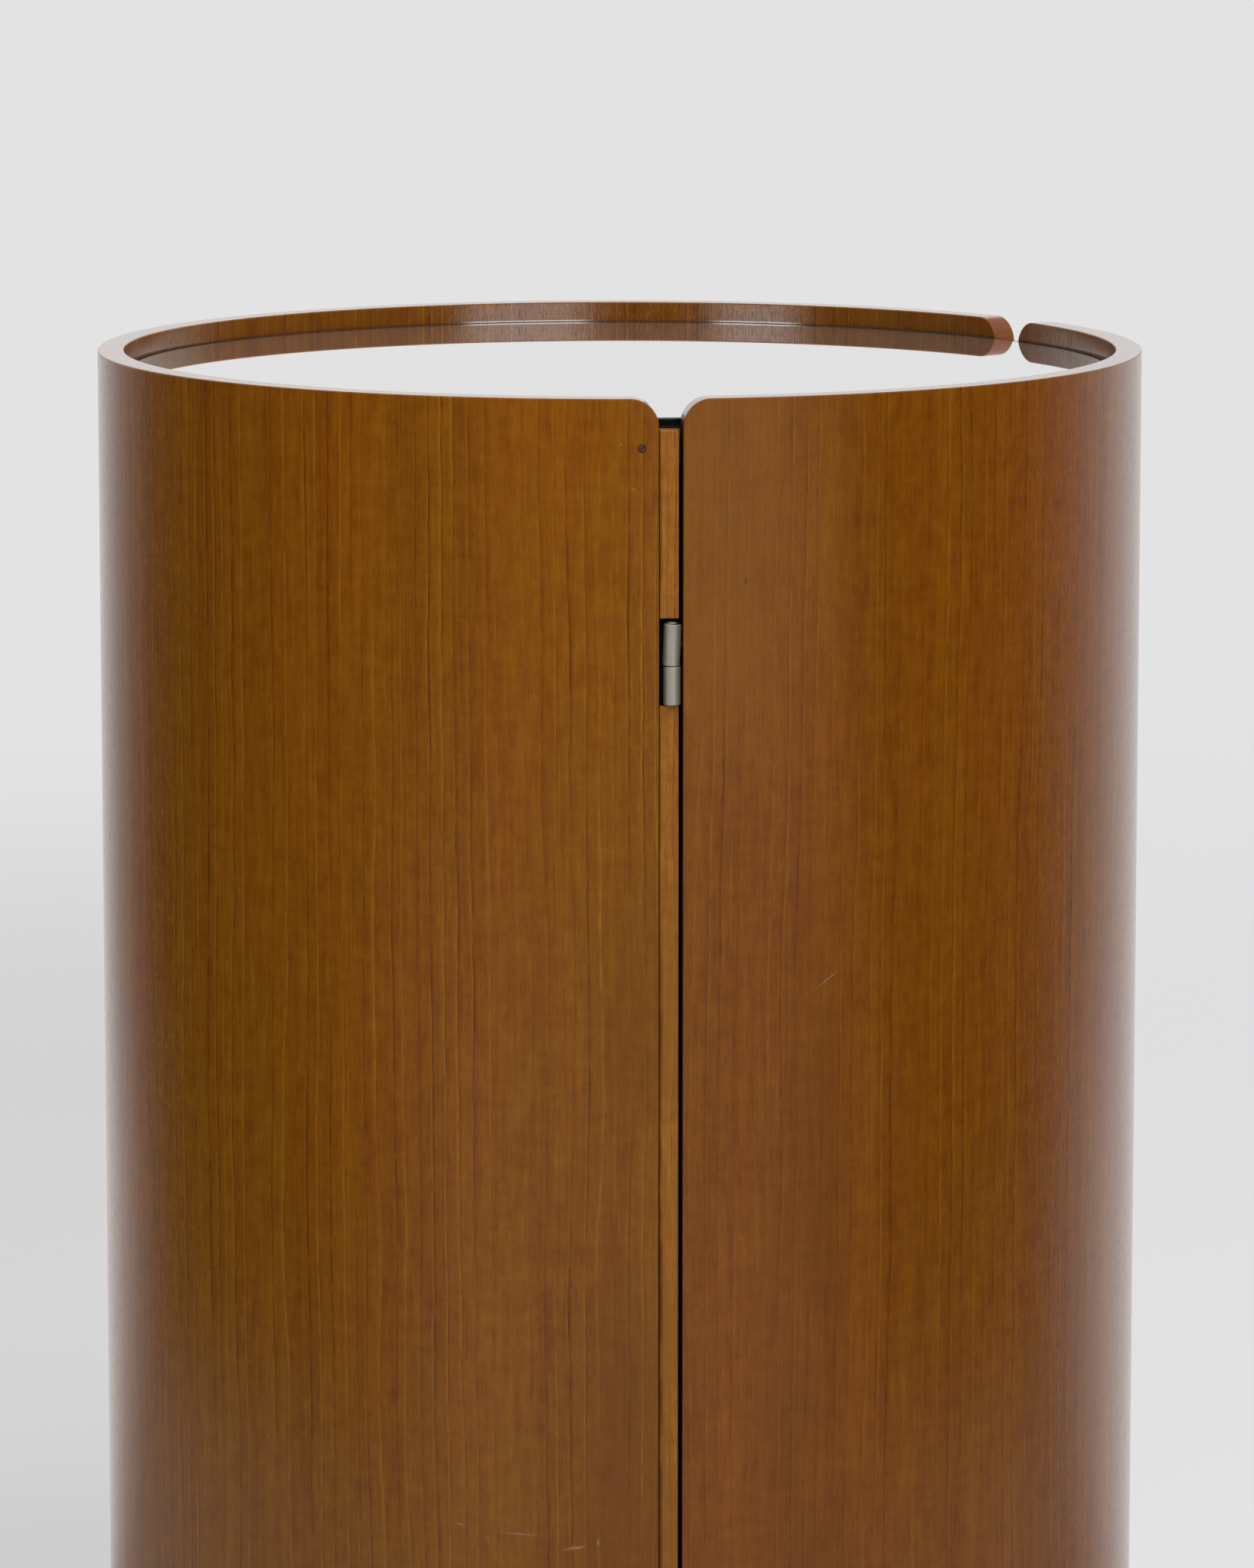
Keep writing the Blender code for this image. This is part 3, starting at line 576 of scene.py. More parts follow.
# a colour and how finely the mark is broken up
scuff = ((0.42, 0.26, 0.17), 900.0)
knot = ((0.05, 0.014, 0.004), 900.0)
stain = ((0.2, 0.078, 0.008), 60.0)
# dark stains and painted shade along the strip's edge beside the fixed shell
dirtAndShade = ((0.07, 0.022, 0.002), 110.0)
# painted shade: a broad darker band low down beside the front seam, on the body and the door
shade = ((0.092, 0.028, 0.0006), 14.0)
pale = ((0.215, 0.074, 0.004), 14.0)
marks = {
    # azimuth in degrees, height, half length, half width, turn in degrees, strength, colour and break-up
    "body": [(0.8, 0.27, 0.042, 0.43, 0, 0.42, shade), (0.15, 0.8255, 0.0009, 0.0006, 0, 0.6, scuff),
             (1.43, 0.8012, 0.0009, 0.0006, 0, 0.6, scuff), (-40.8, 0.2616, 0.004, 0.0006, 60, 0.35, scuff),
             (-10.5, 0.2235, 0.013, 0.0008, 2, 0.3, scuff), (-4.8, 0.2165, 0.008, 0.0013, -10, 0.45, scuff),
             (-17.0, 0.227, 0.005, 0.001, 8, 0.25, scuff), (-14.0, 0.22, 0.0007, 0.0026, 0, 0.35, scuff),
             (-2.3, 0.2195, 0.0008, 0.003, 5, 0.4, scuff)],
    "door": [(19.5, 0.29, 0.04, 0.4, 0, 0.42, shade), (12.5, 0.77, 0.075, 0.15, 0, 0.5, pale),
             (22.19, 0.53, 0.009, 0.0006, -35, 0.35, scuff), (13.14, 0.7507, 0.0011, 0.0022, 0, 0.8, knot)],
    "strip": [(5.2, 0.3, 0.03, 0.46, 0, 0.8, stain), (4.22, 0.3, 0.0022, 0.3, 0, 0.85, dirtAndShade),
              (4.3, 0.52, 0.0018, 0.05, 0, 0.6, dirtAndShade), (4.25, 0.77, 0.0012, 0.045, 0, 0.4, dirtAndShade)],
}
lacquer = {"IOR": 1.5}
edgeLacquer = {"IOR": 1.6, "Coat Weight": 1.0, "Coat Roughness": 0.09, "Coat IOR": 1.9}
rimLacquer = {"IOR": 1.5, "Coat Roughness": 0.09, "Coat IOR": 1.85}
thinLacquer = {"IOR": 1.3}
oiled = {"IOR": 1.28}
boardLacquer = {"IOR": 1.45}


def veneerMaterial(name, wood, uniform, markKey=None, boardTurn=None):
    material, tree, shader = principled(name, uniform)
    if boardTurn is None:
        unrolled = useGroup(tree, barrelCoords, {"Vector": objectCoords(tree)})
        along, height = unrolled["Along"], unrolled["Height"]
    else:
        axes = axesOf(tree, objectCoords(tree, boardTurn))
        along, height = axes["X"], axes["Y"]
    figure = useGroup(tree, veneer, {
        "Along": along, "Height": height, "Base": wood["base"], "Warm": wood["warm"],
        "Light Line": wood["light"], "Dark Line": wood["dark"], "Spacing": wood["spacing"],
        "Side": wood["side"], "Seed": wood["seed"], "Contrast": wood.get("contrast", 1.0),
        "Roughness": wood["roughness"]})
    color = figure["Color"]
    for azimuth, level, length, width, turn, strength, (markColor, grit) in marks.get(markKey, []):
        mask = useGroup(tree, mark, {
            "Along": along, "Height": height, "Center Along": math.radians(azimuth) * cabinet["radius"],
            "Center Height": level, "Length": length, "Width": width, "Turn": math.radians(turn),
            "Grit": grit})["Mask"]
        color = mixColors(tree, times(tree, mask, strength), color, markColor)
    if "glassLevel" in wood:
        # painted shade: a dark line where the face meets the glass, glossy at the back of the rim
        line = ease(tree, height, *(wood["glassLevel"] + above for above in glassLine["heights"]))
        color = mixColors(tree, times(tree, line, glassLine["contactShade"]), color, wood["dark"])
        fromBack = calc(tree, "ABSOLUTE", calc(tree, "ADD", along, math.pi * cabinet["radius"]))
        feed(tree, times(tree, line, ease(tree, fromBack, *glassLine["glossy"])), shader["Coat Weight"])
    cover(tree, shader, color, figure["Roughness"], figure["Height"], grain["depth"])
    return material


def shellFinishes(label, wood):
    # for the faces, the edges, the ends and the part above the mirror
    return (veneerMaterial(label + "Veneer", wood, lacquer, label),
            veneerMaterial(label + "Edge", {**wood, **edgeTones}, edgeLacquer),
            veneerMaterial(label + "End", {**wood, **endTones}, thinLacquer),
            veneerMaterial(label + "Rim", {**wood, **rimTones}, rimLacquer))


print("mixing the wood finishes")
bodyFinishes = shellFinishes("body", bodyWood)
doorFinishes = shellFinishes("door", doorWood)
# painted shade for the front seam and the hinge notches
seamDark = veneerMaterial("seamDark", {**doorWood, **seamShadeTones}, thinLacquer)
stripWood = veneerMaterial("stripWood", stripTones, oiled, "strip")
boardWood = veneerMaterial("boardWood", innerWood, boardLacquer, None, grain["boardTurn"])
battenWood = veneerMaterial("battenWood", {**innerWood, "seed": grain["battenSeed"]}, boardLacquer)


# Metals, mirror and plastics

blackStain = {
    "dark": (0.008, 0.007, 0.006), "light": (0.02, 0.017, 0.015), "grain": (2.0, 30.0, 900.0, 3.0),
    "tones": (0.35, 0.7), "roughness": (0.3, 0.7, 0.5, 0.66), "depth": 0.00008,
}
# nickel with painted shade: darker flanks towards the seam on each side
nickel = {
    "dark": (0.02, 0.017, 0.012), "light": (0.43, 0.395, 0.33),
    "rightFlankShade": (0.0, 0.95, 1.0, 0.3), "leftFlankShade": (-0.35, -1.05, 1.0, 0.38),
    "brushing": (7.0, 2400.0, 60.0, 3.0), "streaks": (0.3, 0.7, 0.93, 1.05),
    "roughness": (0.3, 0.7, 0.3, 0.42), "depth": 0.00002,
}
speckle = {"wideScale": 0.12, "tones": (0.38, 0.62), "gloss": (0.35, 0.65), "glossSpread": 0.15}


def stainedBlack():
    material, tree, shader = principled("plinthBlack", {"IOR": 1.45})
    unrolled = useGroup(tree, barrelCoords, {"Vector": objectCoords(tree)})
    lines = grainNoise(tree, unrolled["Along"], unrolled["Height"], *blackStain["grain"])
    color = mixColors(tree, ease(tree, lines, *blackStain["tones"]), blackStain["dark"], blackStain["light"])
    cover(tree, shader, color, ease(tree, lines, *blackStain["roughness"]), lines, blackStain["depth"])
    return material


def speckled(name, uniform, dark, light, roughness, grainSize, relief=0.00003):
    # a metal or a plastic whose colour and gloss wander a little
    material, tree, shader = principled(name, uniform)
    place = objectCoords(tree)
    fine = addNode(tree, "TexNoise", {"Vector": place, "Scale": 1.0 / grainSize, "Detail": 3.0}).outputs[0]
    wide = addNode(tree, "TexNoise", {"Vector": place, "Scale": speckle["wideScale"] / grainSize,
                                      "Detail": 2.0}).outputs[0]
    both = calc(tree, "MULTIPLY_ADD", fine, 0.5, times(tree, wide, 0.5))
    color = mixColors(tree, ease(tree, both, *speckle["tones"]), dark, light)
    spread = speckle["glossSpread"]
    dull = ease(tree, both, *speckle["gloss"], roughness * (1 - spread), roughness * (1 + spread))
    cover(tree, shader, color, dull, fine, relief)
    return material


def nickelWithPaintedShade():
    # dull nickel with a fine upright brushing, with painted shade on the flanks that sit in the seam
    material, tree, shader = principled("hingeGrey", {"Metallic": 0.45})
    axes = axesOf(tree, objectCoords(tree))
    across = calc(tree, "SUBTRACT", axes["X"], hinge["axis"].x)
    across = calc(tree, "DIVIDE", across, knuckles["radius"])
    brushing = grainNoise(tree, axes["X"], axes["Z"], *nickel["brushing"])
    # painted shade on both flanks, broken by the brushing streaks
    litAndBrushed = between(tree, across, nickel["rightFlankShade"], nickel["leftFlankShade"])
    litAndBrushed = times(tree, litAndBrushed, ease(tree, brushing, *nickel["streaks"]))
    color = mixColors(tree, litAndBrushed, nickel["dark"], nickel["light"])
    cover(tree, shader, color, ease(tree, brushing, *nickel["roughness"]), brushing, nickel["depth"])
    return material


print("mixing the metals, the mirror and the plastics")
hinge = {"axis": Vector(frame["joints"][0]["pos_m"])}
knuckles = {"radius": 0.00485, "edge": 0.0006, "edgeSteps": 4, "sides": 56, "lean": math.radians(2.7),
            "leaningBore": 0.00253, "bore": 0.0022, "boreFloor": 0.003, "boreSides": 40, "past": 0.001,
            "stud": 0.002, "studSides": 20, "studFrom": 0.0002}
plinthBlack = stainedBlack()
hingeGrey = nickelWithPaintedShade()
# painted shade: the stud that shows in the seam is coloured near black
studPaintedShade = speckled("studPaintedShade", {"Metallic": 0.5}, (0.03, 0.024, 0.02), (0.055, 0.046, 0.04), 0.5, 0.0009)
pinBrass = speckled("pinBrass", {"Metallic": 0.6}, (0.3, 0.27, 0.12), (0.62, 0.57, 0.3), 0.3, 0.0005)
brightSteel = speckled("brightSteel", {"Metallic": 1.0}, (0.46, 0.46, 0.45), (0.62, 0.62, 0.61), 0.28, 0.0012)
railChrome = speckled("railChrome", {"Metallic": 1.0}, (0.6, 0.6, 0.6), (0.68, 0.68, 0.68), 0.1, 0.004,
                      0.000004)
screwBrown = speckled("screwBrown", {"IOR": 1.4}, (0.04, 0.013, 0.007), (0.085, 0.032, 0.018), 0.5, 0.0008)
brownPlastic = speckled("brownPlastic", {}, (0.036, 0.02, 0.011), (0.054, 0.031, 0.018), 0.44, 0.0006)
glidePlastic = speckled("glidePlastic", {}, (0.04, 0.034, 0.029), (0.06, 0.05, 0.043), 0.4, 0.0008)
mirrorFace = speckled("mirrorFace", {"Metallic": 0.94}, (0.86, 0.87, 0.868), (0.875, 0.88, 0.878), 0.012,
                      0.03, 0.0)
mirrorArris = speckled("mirrorArris", {"IOR": 1.52}, (0.02, 0.03, 0.03), (0.045, 0.062, 0.06), 0.3, 0.001)
# the mirror's dark ground sides, also laid round the top's outer margin as painted shade at the joint with the rim
mirrorEdgeAndShade = speckled("mirrorEdgeAndShade", {"IOR": 1.2}, (0.0015, 0.0018, 0.0018), (0.003, 0.0036, 0.0036), 0.45,
                      0.001)


# Shells

shells = {
    "corner": 0.0155, "arris": 0.0008,
    "sinkRadius": 0.0024, "sinkDepth": 0.0013, "sinkSides": 32,
    # a face's slope is its normal's share upwards; ends take their finish up to a slope
    "seamDepth": 0.017, "rearEndUpTo": 0.93, "frontEndUpTo": 0.35, "seamDarkUpTo": 0.2, "outerUpTo": 0.3,
    "outerFrom": 0.5, "edgeUpTo": 0.6,
}


def addShells():
    seam = polar(cabinet["radius"], ringOf("door_shell")["start"])
    rear = polar(cabinet["radius"], cabinet["grainSeam"])

    def finishOf(face):
        # 0 face, 1 edge, 2 end, 3 painted shade on the end in the front seam, 4 inner face
        slope = abs(face.normal.z)
        if facesOutOrIn(face) and face.normal.xy.dot(face.center.xy) < 0:
            return 4
        if facesOutOrIn(face, shells["outerFrom"]):
            if slope < shells["outerUpTo"]:
                return 0
        elif slope < shells["seamDarkUpTo"] and (face.center - seam).xy.length < shells["seamDepth"]:
            return 3
        if facesOutOrIn(face, shells["edgeUpTo"]):
            return 0
        atRear = (face.center - rear).xy.length < 2 * shells["seamDepth"]
        return 2 if slope < shells["rearEndUpTo" if atRear else "frontEndUpTo"] else 1

    for node, (face, edge, end, rim) in (("fixed_shell", bodyFinishes), ("door_shell", doorFinishes)):
        piece = bentBoard(node, shells["corner"], arris=shells["arris"])
        if node == "fixed_shell":
            sinkScrewHeads(piece)
        dress(piece, node, face, edge, end, seamDark, rim)
        for polygon in piece.data.polygons:
            polygon.material_index = finishOf(polygon)


def sinkScrewHeads(shell):
    radius, depth = shells["sinkRadius"], shells["sinkDepth"]
    for node in sorted(slotOf):
        if node.startswith(("top_screw", "bottom_screw")):
            ring = ringOf(node)
            sink = turnedPiece("countersink", shells["sinkSides"], [(radius, -depth), (radius, radius)])
            layAlong(sink, placeIn(ring, cabinet["radius"]), outwards(ring))
            carve(shell, sink)


print("bending the shells")
addShells()


# Mirror, panels and shelves

boards = {"sides": 240, "arris": 0.0012, "glassArris": 0.0006, "arrisSteps": 2, "glassMargin": 0.0026,
          "flatFrom": 0.99, "arrisUpTo": 0.95, "sideUpTo": 0.1, "topWithin": 0.0001}


def disc(node):
    low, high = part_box(node)
    bpy.ops.object.select_all(action="DESELECT")
    bpy.ops.mesh.primitive_cylinder_add(vertices=boards["sides"], radius=ringOf(node)["outer"],
                                        depth=high.z - low.z, location=(0.0, 0.0, (low.z + high.z) / 2))
    piece = newlyAdded(node + "_fine")
    startEdit(piece)
    return piece


def addMirror():
    piece = disc("mirror_top")
    bevelSharp(boards["glassArris"], boards["arrisSteps"])
    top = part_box("mirror_top")[1].z - boards["topWithin"]
    pickWhere(piece, "FACE", lambda face: face.normal.z > boards["flatFrom"]
              and face.calc_center_median().z > top)
    bpy.ops.mesh.inset(thickness=boards["glassMargin"])
    endEdit()
    dress(piece, "mirror_top", mirrorFace, mirrorArris, mirrorEdgeAndShade)
    paintFaces(piece, 1, lambda face: abs(face.normal.z) < boards["arrisUpTo"])
    # the sides, and a ring of painted shade round the top's outer margin
    paintFaces(piece, 2, lambda face: abs(face.normal.z) < boards["sideUpTo"]
               or face.normal.z > boards["flatFrom"] and face.center.xy.length > cabinet["radius"] / 2)


def addPanels():
    for node in ("top_panel", "bottom_panel"):
        piece = disc(node)
        bevelSharp(boards["arris"], boards["arrisSteps"])
        endEdit()
        dress(piece, node, boardWood)


def addShelves():
    # discs cut straight across at the front
    for node in ("lower_shelf", "upper_shelf"):
        ring = ringOf(node)
        front = middleOf(ring) - math.pi
        reach = ring["outer"] * math.cos(math.pi - (ring["end"] - ring["start"]) / 2)
        piece = disc(node)
        bpy.ops.mesh.bisect(plane_co=polar(reach, front), plane_no=polar(1.0, front), use_fill=True,
                            clear_outer=True)
        bevelSharp(boards["arris"], boards["arrisSteps"])
        endEdit()
        dress(piece, node, boardWood)


print("cutting the mirror, the panels and the shelves")
addMirror()
addPanels()
addShelves()


# Strip, battens and trays

strip = {"round": 0.0007, "roundSteps": 4, "notchBehind": 0.001, "headroom": 0.003, "footroom": 0.0004,
         "notchHalf": 0.02, "notchFront": 0.32, "darkWithin": 0.0012, "flatFrom": 0.95, "endZone": 0.005}
trays = {"arris": 0.0012, "railHole": 0.0034, "holeSides": 32, "holePast": 0.01, "railInset": 0.003}


def addStrip():
    piece = bentBoard("hinge_strip", arris=strip["round"], arrisSteps=strip["roundSteps"])
    back = hinge["axis"].xy.length - knuckles["radius"] - strip["notchBehind"]
    half = strip["notchHalf"]
    for label in ("upper", "lower"):
        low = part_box(f"{label}_hinge_body_knuckle")[0].z - strip["footroom"]
        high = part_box(f"{label}_hinge_door_knuckle")[1].z + strip["headroom"]
        notch = boxPiece("notch", (-half, -strip["notchFront"], low), (half, -back, high))
        turnUpright(notch, math.atan2(hinge["axis"].x, -hinge["axis"].y))
        carve(piece, notch)
    dress(piece, "hinge_strip", stripWood, seamDark)
    foot, head = (corner.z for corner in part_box("hinge_strip"))
    # the notches get painted shade inside, the strip's own ends don't
    paintFaces(piece, 1, lambda face: abs(face.center.xy.length - back) < strip["darkWithin"]
               and facesOutOrIn(face) or abs(face.normal.z) > strip["flatFrom"]
               and foot + strip["endZone"] < face.center.z < head - strip["endZone"])


def addBattens():
    for node in ("front_batten", "rear_batten"):
        dress(bentBoard(node), node, battenWood)


def addTrays():
    past = trays["holePast"]
    for label in ("lower", "upper"):
        node = f"{label}_tray"
        piece = bentBoard(node, arris=trays["arris"])
        low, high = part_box(node)
        rail = ringOf(f"{label}_rail")
        middle = (rail["inner"] + rail["outer"]) / 2
        inset = math.asin(trays["railInset"] / middle)
        for azimuth in (rail["start"] + inset, rail["end"] - inset):
            hole = turnedPiece("railHole", trays["holeSides"], [(trays["railHole"], low.z - past),
                                                                (trays["railHole"], high.z + past)])
            layAlong(hole, polar(middle, azimuth), up)
            carve(piece, hole)
        dress(piece, node, boardWood)


print("fitting the strip, the battens and the trays")
addStrip()
addBattens()
addTrays()


# Rails

rails = {"radius": 0.003, "bend": 0.018, "sides": 24, "bendSteps": 10, "arcStep": math.radians(2.0)}


def bendOver(reach, azimuth, height, side):
    # a quarter turn, clockwise about its axis, in the plane where the long arc starts (1) or ends (-1)
    turn = azimuth + side * math.asin(rails["bend"] / reach)
    center = polar(reach, azimuth, height) + polar(1.0, turn + math.pi / 2) * (side * rails["bend"])
    bpy.ops.mesh.spin(steps=rails["bendSteps"], angle=math.pi / 2, axis=polar(1.0, turn), center=center)


def addRails():
    # one rod, drawn up from the tray, bent over, led round the body's axis and bent down again
    for label in ("lower", "upper"):
        node = f"{label}_rail"
        ring = ringOf(node)
        low, top = ring["low"], ring["high"] - rails["radius"]
        reach = (ring["inner"] + ring["outer"]) / 2
        inset = math.asin(rails["radius"] / reach)
        start, end = ring["start"] + inset, ring["end"] - inset
        straight = top - rails["bend"] - low
        piece = startCircle(node + "_fine", rails["sides"], rails["radius"], polar(reach, start, low))
        drawUp(straight)
        bendOver(reach, start, top - rails["bend"], 1)
        around = end - start - 2 * math.asin(rails["bend"] / reach)
        steps = math.ceil(around / rails["arcStep"])
        bpy.ops.mesh.spin(steps=steps, angle=around, axis=-up, center=(0.0, 0.0, 0.0))
        bendOver(reach, end, top - rails["bend"], -1)
        drawUp(-straight)
        endEdit()
        dress(piece, node, railChrome)


print("bending the rails")
addRails()


# Base

base = {"sides": 180, "arris": 0.0008, "arrisSteps": 2}
glides = {"sides": 64, "round": 0.0012, "roundMiddle": (0.0003, 0.0004), "thick": 0.004, "edge": 0.0004,
          "nail": 0.0016, "nailTip": 0.7, "nailFrom": 0.0001}


def addPlinth():
    # an upright band round the body's axis, given its wall inwards
    ring = ringOf("plinth_ring")
    piece = startCircle("plinth_ring_fine", base["sides"], ring["outer"], up * ring["low"], "NOTHING")
    bpy.ops.mesh.select_mode(type="EDGE")
    bpy.ops.mesh.select_all(action="SELECT")
    drawUp(ring["high"] - ring["low"])
    bpy.ops.mesh.select_all(action="SELECT")
    bpy.ops.mesh.normals_make_consistent(inside=False)
    endEdit()
    face = piece.data.polygons[0]
    outward = face.normal.xy.dot(face.center.xy) > 0
    applyModifier(piece, "SOLIDIFY", thickness=ring["outer"] - ring["inner"], offset=-1.0 if outward else 1.0)
    startEdit(piece)
    bevelSharp(base["arris"], base["arrisSteps"])
    endEdit()
    dress(piece, "plinth_ring", plinthBlack)


def addGlides():
    low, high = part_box("glide_1")
    radius = (high.x - low.x) / 2
    thick, edge, nail = glides["thick"], glides["edge"], glides["nail"]
    inset, level = glides["roundMiddle"]
    profile = [(radius - glides["round"], 0.0), (radius - inset, level), (radius, glides["round"]),
               (radius, thick - edge), (radius - edge, thick), (nail, thick), (nail, high.z - edge),
               (nail * glides["nailTip"], high.z)]
    pattern = turnedPiece("glide", glides["sides"], profile)
    for number in range(1, 5):
        node = f"glide_{number}"
        piece = copyOf(pattern, node + "_fine")
        layAlong(piece, centerAt(node, 0.0), up)
        dress(piece, node, glidePlastic, brightSteel)
        paintFaces(piece, 1, lambda face: face.center.z > thick + glides["nailFrom"])
    bpy.data.objects.remove(pattern)


print("building the base")
addPlinth()
addGlides()


# Hinges

pins = {"radius": 0.0018, "tip": 0.0005, "tipShare": 0.7, "sides": 40, "head": 0.0029, "headThick": 0.0007,
        "domeFrom": 0.0002, "dome": 0.0005, "domeTurns": (0, 25, 50, 70, 84)}


def onAxis(height):
    return Vector((hinge["axis"].x, hinge["axis"].y, height))


def knuckleRod(name, low, high):
    return turnedPiece(name, knuckles["sides"], roundedRod(knuckles["radius"], low, high, knuckles["edge"],
                                                           knuckles["edgeSteps"]))


def addStud(piece, start, end):
    reach = (end - start).length
    thick = knuckles["stud"]
    profile = [(thick, 0.0), (thick, reach - thick), (thick / 2, reach)]
    stud = turnedPiece("stud", knuckles["studSides"], profile)
    layAlong(stud, start, end - start)
    carve(piece, stud, "UNION")


def bore(piece, origin, direction, radius, near, far):
    drill = turnedPiece("drill", knuckles["boreSides"], [(radius, near), (radius, far)])
    layAlong(drill, origin, direction)
    carve(piece, drill)


def dressKnuckle(piece, node, origin, direction):
    # the stud is coloured near black as painted shade in the seam, the knuckle is not
    dress(piece, node, hingeGrey, studPaintedShade)
    outside = knuckles["radius"] + knuckles["studFrom"]
    paintFaces(piece, 1, lambda face: (face.center - origin).cross(direction).length > outside)


def addBodyKnuckle(label):
    node = f"{label}_hinge_body_knuckle"
    low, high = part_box(node)
    axis = onAxis(0.0)
    piece = knuckleRod(node + "_fine", low.z, high.z)
    layAlong(piece, axis, up)
    middle = (low.z + high.z) / 2
    addStud(piece, onAxis(middle), polar(ringOf(node)["inner"], middleOf(ringOf("hinge_strip")), middle))
    bore(piece, axis, up, knuckles["bore"], low.z + knuckles["boreFloor"], high.z + knuckles["past"])
    dressKnuckle(piece, node, axis, up)


def addDoorKnuckle(label):
    node = f"{label}_hinge_door_knuckle"
    low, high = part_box(node)
    sine, cosine = math.sin(knuckles["lean"]), math.cos(knuckles["lean"])
    lean = Vector((sine, 0.0, cosine))
    half = (high.z - low.z - 2 * knuckles["radius"] * sine) / 2 / cosine
    center = onAxis((low.z + high.z) / 2)
    piece = knuckleRod(node + "_fine", -half, half)
    layAlong(piece, center, lean)
    door = ringOf("door_shell")
    addStud(piece, center, polar((door["inner"] + door["outer"]) / 2, ringOf(node)["end"], center.z))
    bore(piece, center, lean, knuckles["leaningBore"], -2 * half, 2 * half)
    dressKnuckle(piece, node, center, lean)


def addPin(label):
    node = f"{label}_hinge_pin"
    low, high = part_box(node)
    radius, head = pins["radius"], pins["head"]
    top = high.z - pins["headThick"]
    turns = [math.radians(turn) for turn in pins["domeTurns"]]
    dome = [(head * math.cos(turn), top + pins["domeFrom"] + pins["dome"] * math.sin(turn)) for turn in turns]
    profile = [(radius * pins["tipShare"], low.z), (radius, low.z + pins["tip"]), (radius, top), (head, top),
               *dome]
    piece = turnedPiece(node + "_fine", pins["sides"], profile)
    layAlong(piece, onAxis(0.0), up)
    dress(piece, node, pinBrass)


print("turning the hinges")
for label in ("upper", "lower"):
    addBodyKnuckle(label)
    addDoorKnuckle(label)
    addPin(label)


# Screws, pegs and the catch

screws = {"head": 0.002, "headThick": 0.001, "crown": ((0.0, 0.0002), (0.00015, 0.00005), (0.0004, 0.0)),
          "shank": 0.0014, "tip": 0.0004, "tipLength": 0.0028, "sides": 32, "slotHalf": 0.0003,
          "slotDepth": 0.0005, "slotReach": 0.01, "turn": math.radians(35)}
pegs = {"radius": 0.003, "edge": 0.0007, "edgeSteps": 3, "sides": 36}
catch = {"arris": 0.0012, "plateArris": 0.0003, "plateSteps": 2}


def screwPattern(length):
    # the head's top is at z = 0 and the tip points down
    head, shank, thick = screws["head"], screws["shank"], screws["headThick"]
    profile = [(screws["tip"], -length), (shank, -length + screws["tipLength"]), (shank, -thick),
               (head, -thick), *((head - inwards, -below) for inwards, below in screws["crown"])]
    screw = turnedPiece("screw", screws["sides"], profile)
    half, reach = screws["slotHalf"], screws["slotReach"]
    carve(screw, boxPiece("slot", (-reach, -half, -screws["slotDepth"]), (reach, half, reach)))
    return screw


def addScrews():
    # each line: node, length, top of the head, the way it looks, finish
    woodScrew = ringOf("top_screw_1")
    shellLength = woodScrew["outer"] - woodScrew["inner"]
    places = []
    for node in sorted(slotOf):
        if node.startswith(("top_screw", "bottom_screw")):
            ring = ringOf(node)
            top = placeIn(ring, ring["inner"] + shellLength)
            places.append((node, shellLength, top, outwards(ring), screwBrown))
    low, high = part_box("plinth_screw_1")
    for number in range(1, 5):
        node = f"plinth_screw_{number}"
        places.append((node, high.z - low.z, centerAt(node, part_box(node)[1].z), up, brightSteel))
    low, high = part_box("catch_screw")
    places.append(("catch_screw", high.z - low.z, centerAt("catch_screw", low.z), -up, brightSteel))
    ring = ringOf("plate_screw")
    places.append(("plate_screw", ring["outer"] - ring["inner"], placeIn(ring, ring["inner"]),
                   -outwards(ring), brightSteel))
    for node, length, top, direction, finish in places:
        piece = screwPattern(length)
        piece.name = node + "_fine"
        if finish == screwBrown:
            turnUpright(piece, screws["turn"])
        layAlong(piece, top, direction)
        dress(piece, node, finish)


def addPegs():
    ring = ringOf("lower_shelf_peg_1")
    profile = roundedRod(pegs["radius"], 0.0, ring["outer"] - ring["inner"], pegs["edge"], pegs["edgeSteps"])
    pattern = turnedPiece("peg", pegs["sides"], profile)
    for node in sorted(slotOf):
        if "_peg_" in node:
            ring = ringOf(node)
            piece = copyOf(pattern, node + "_fine")
            layAlong(piece, placeIn(ring, ring["inner"]), outwards(ring))
            dress(piece, node, brightSteel)
    bpy.data.objects.remove(pattern)


def addCatch():
    dress(bentBoard("magnet_catch", arris=catch["arris"]), "magnet_catch", brownPlastic)
    plate = bentBoard("strike_plate", arris=catch["plateArris"], arrisSteps=catch["plateSteps"])
    dress(plate, "strike_plate", brightSteel)


print("driving the screws, the pegs and the catch")
addScrews()
addPegs()
addCatch()


# Studio

def arc(*degrees):
    return tuple(math.radians(turn) for turn in degrees)


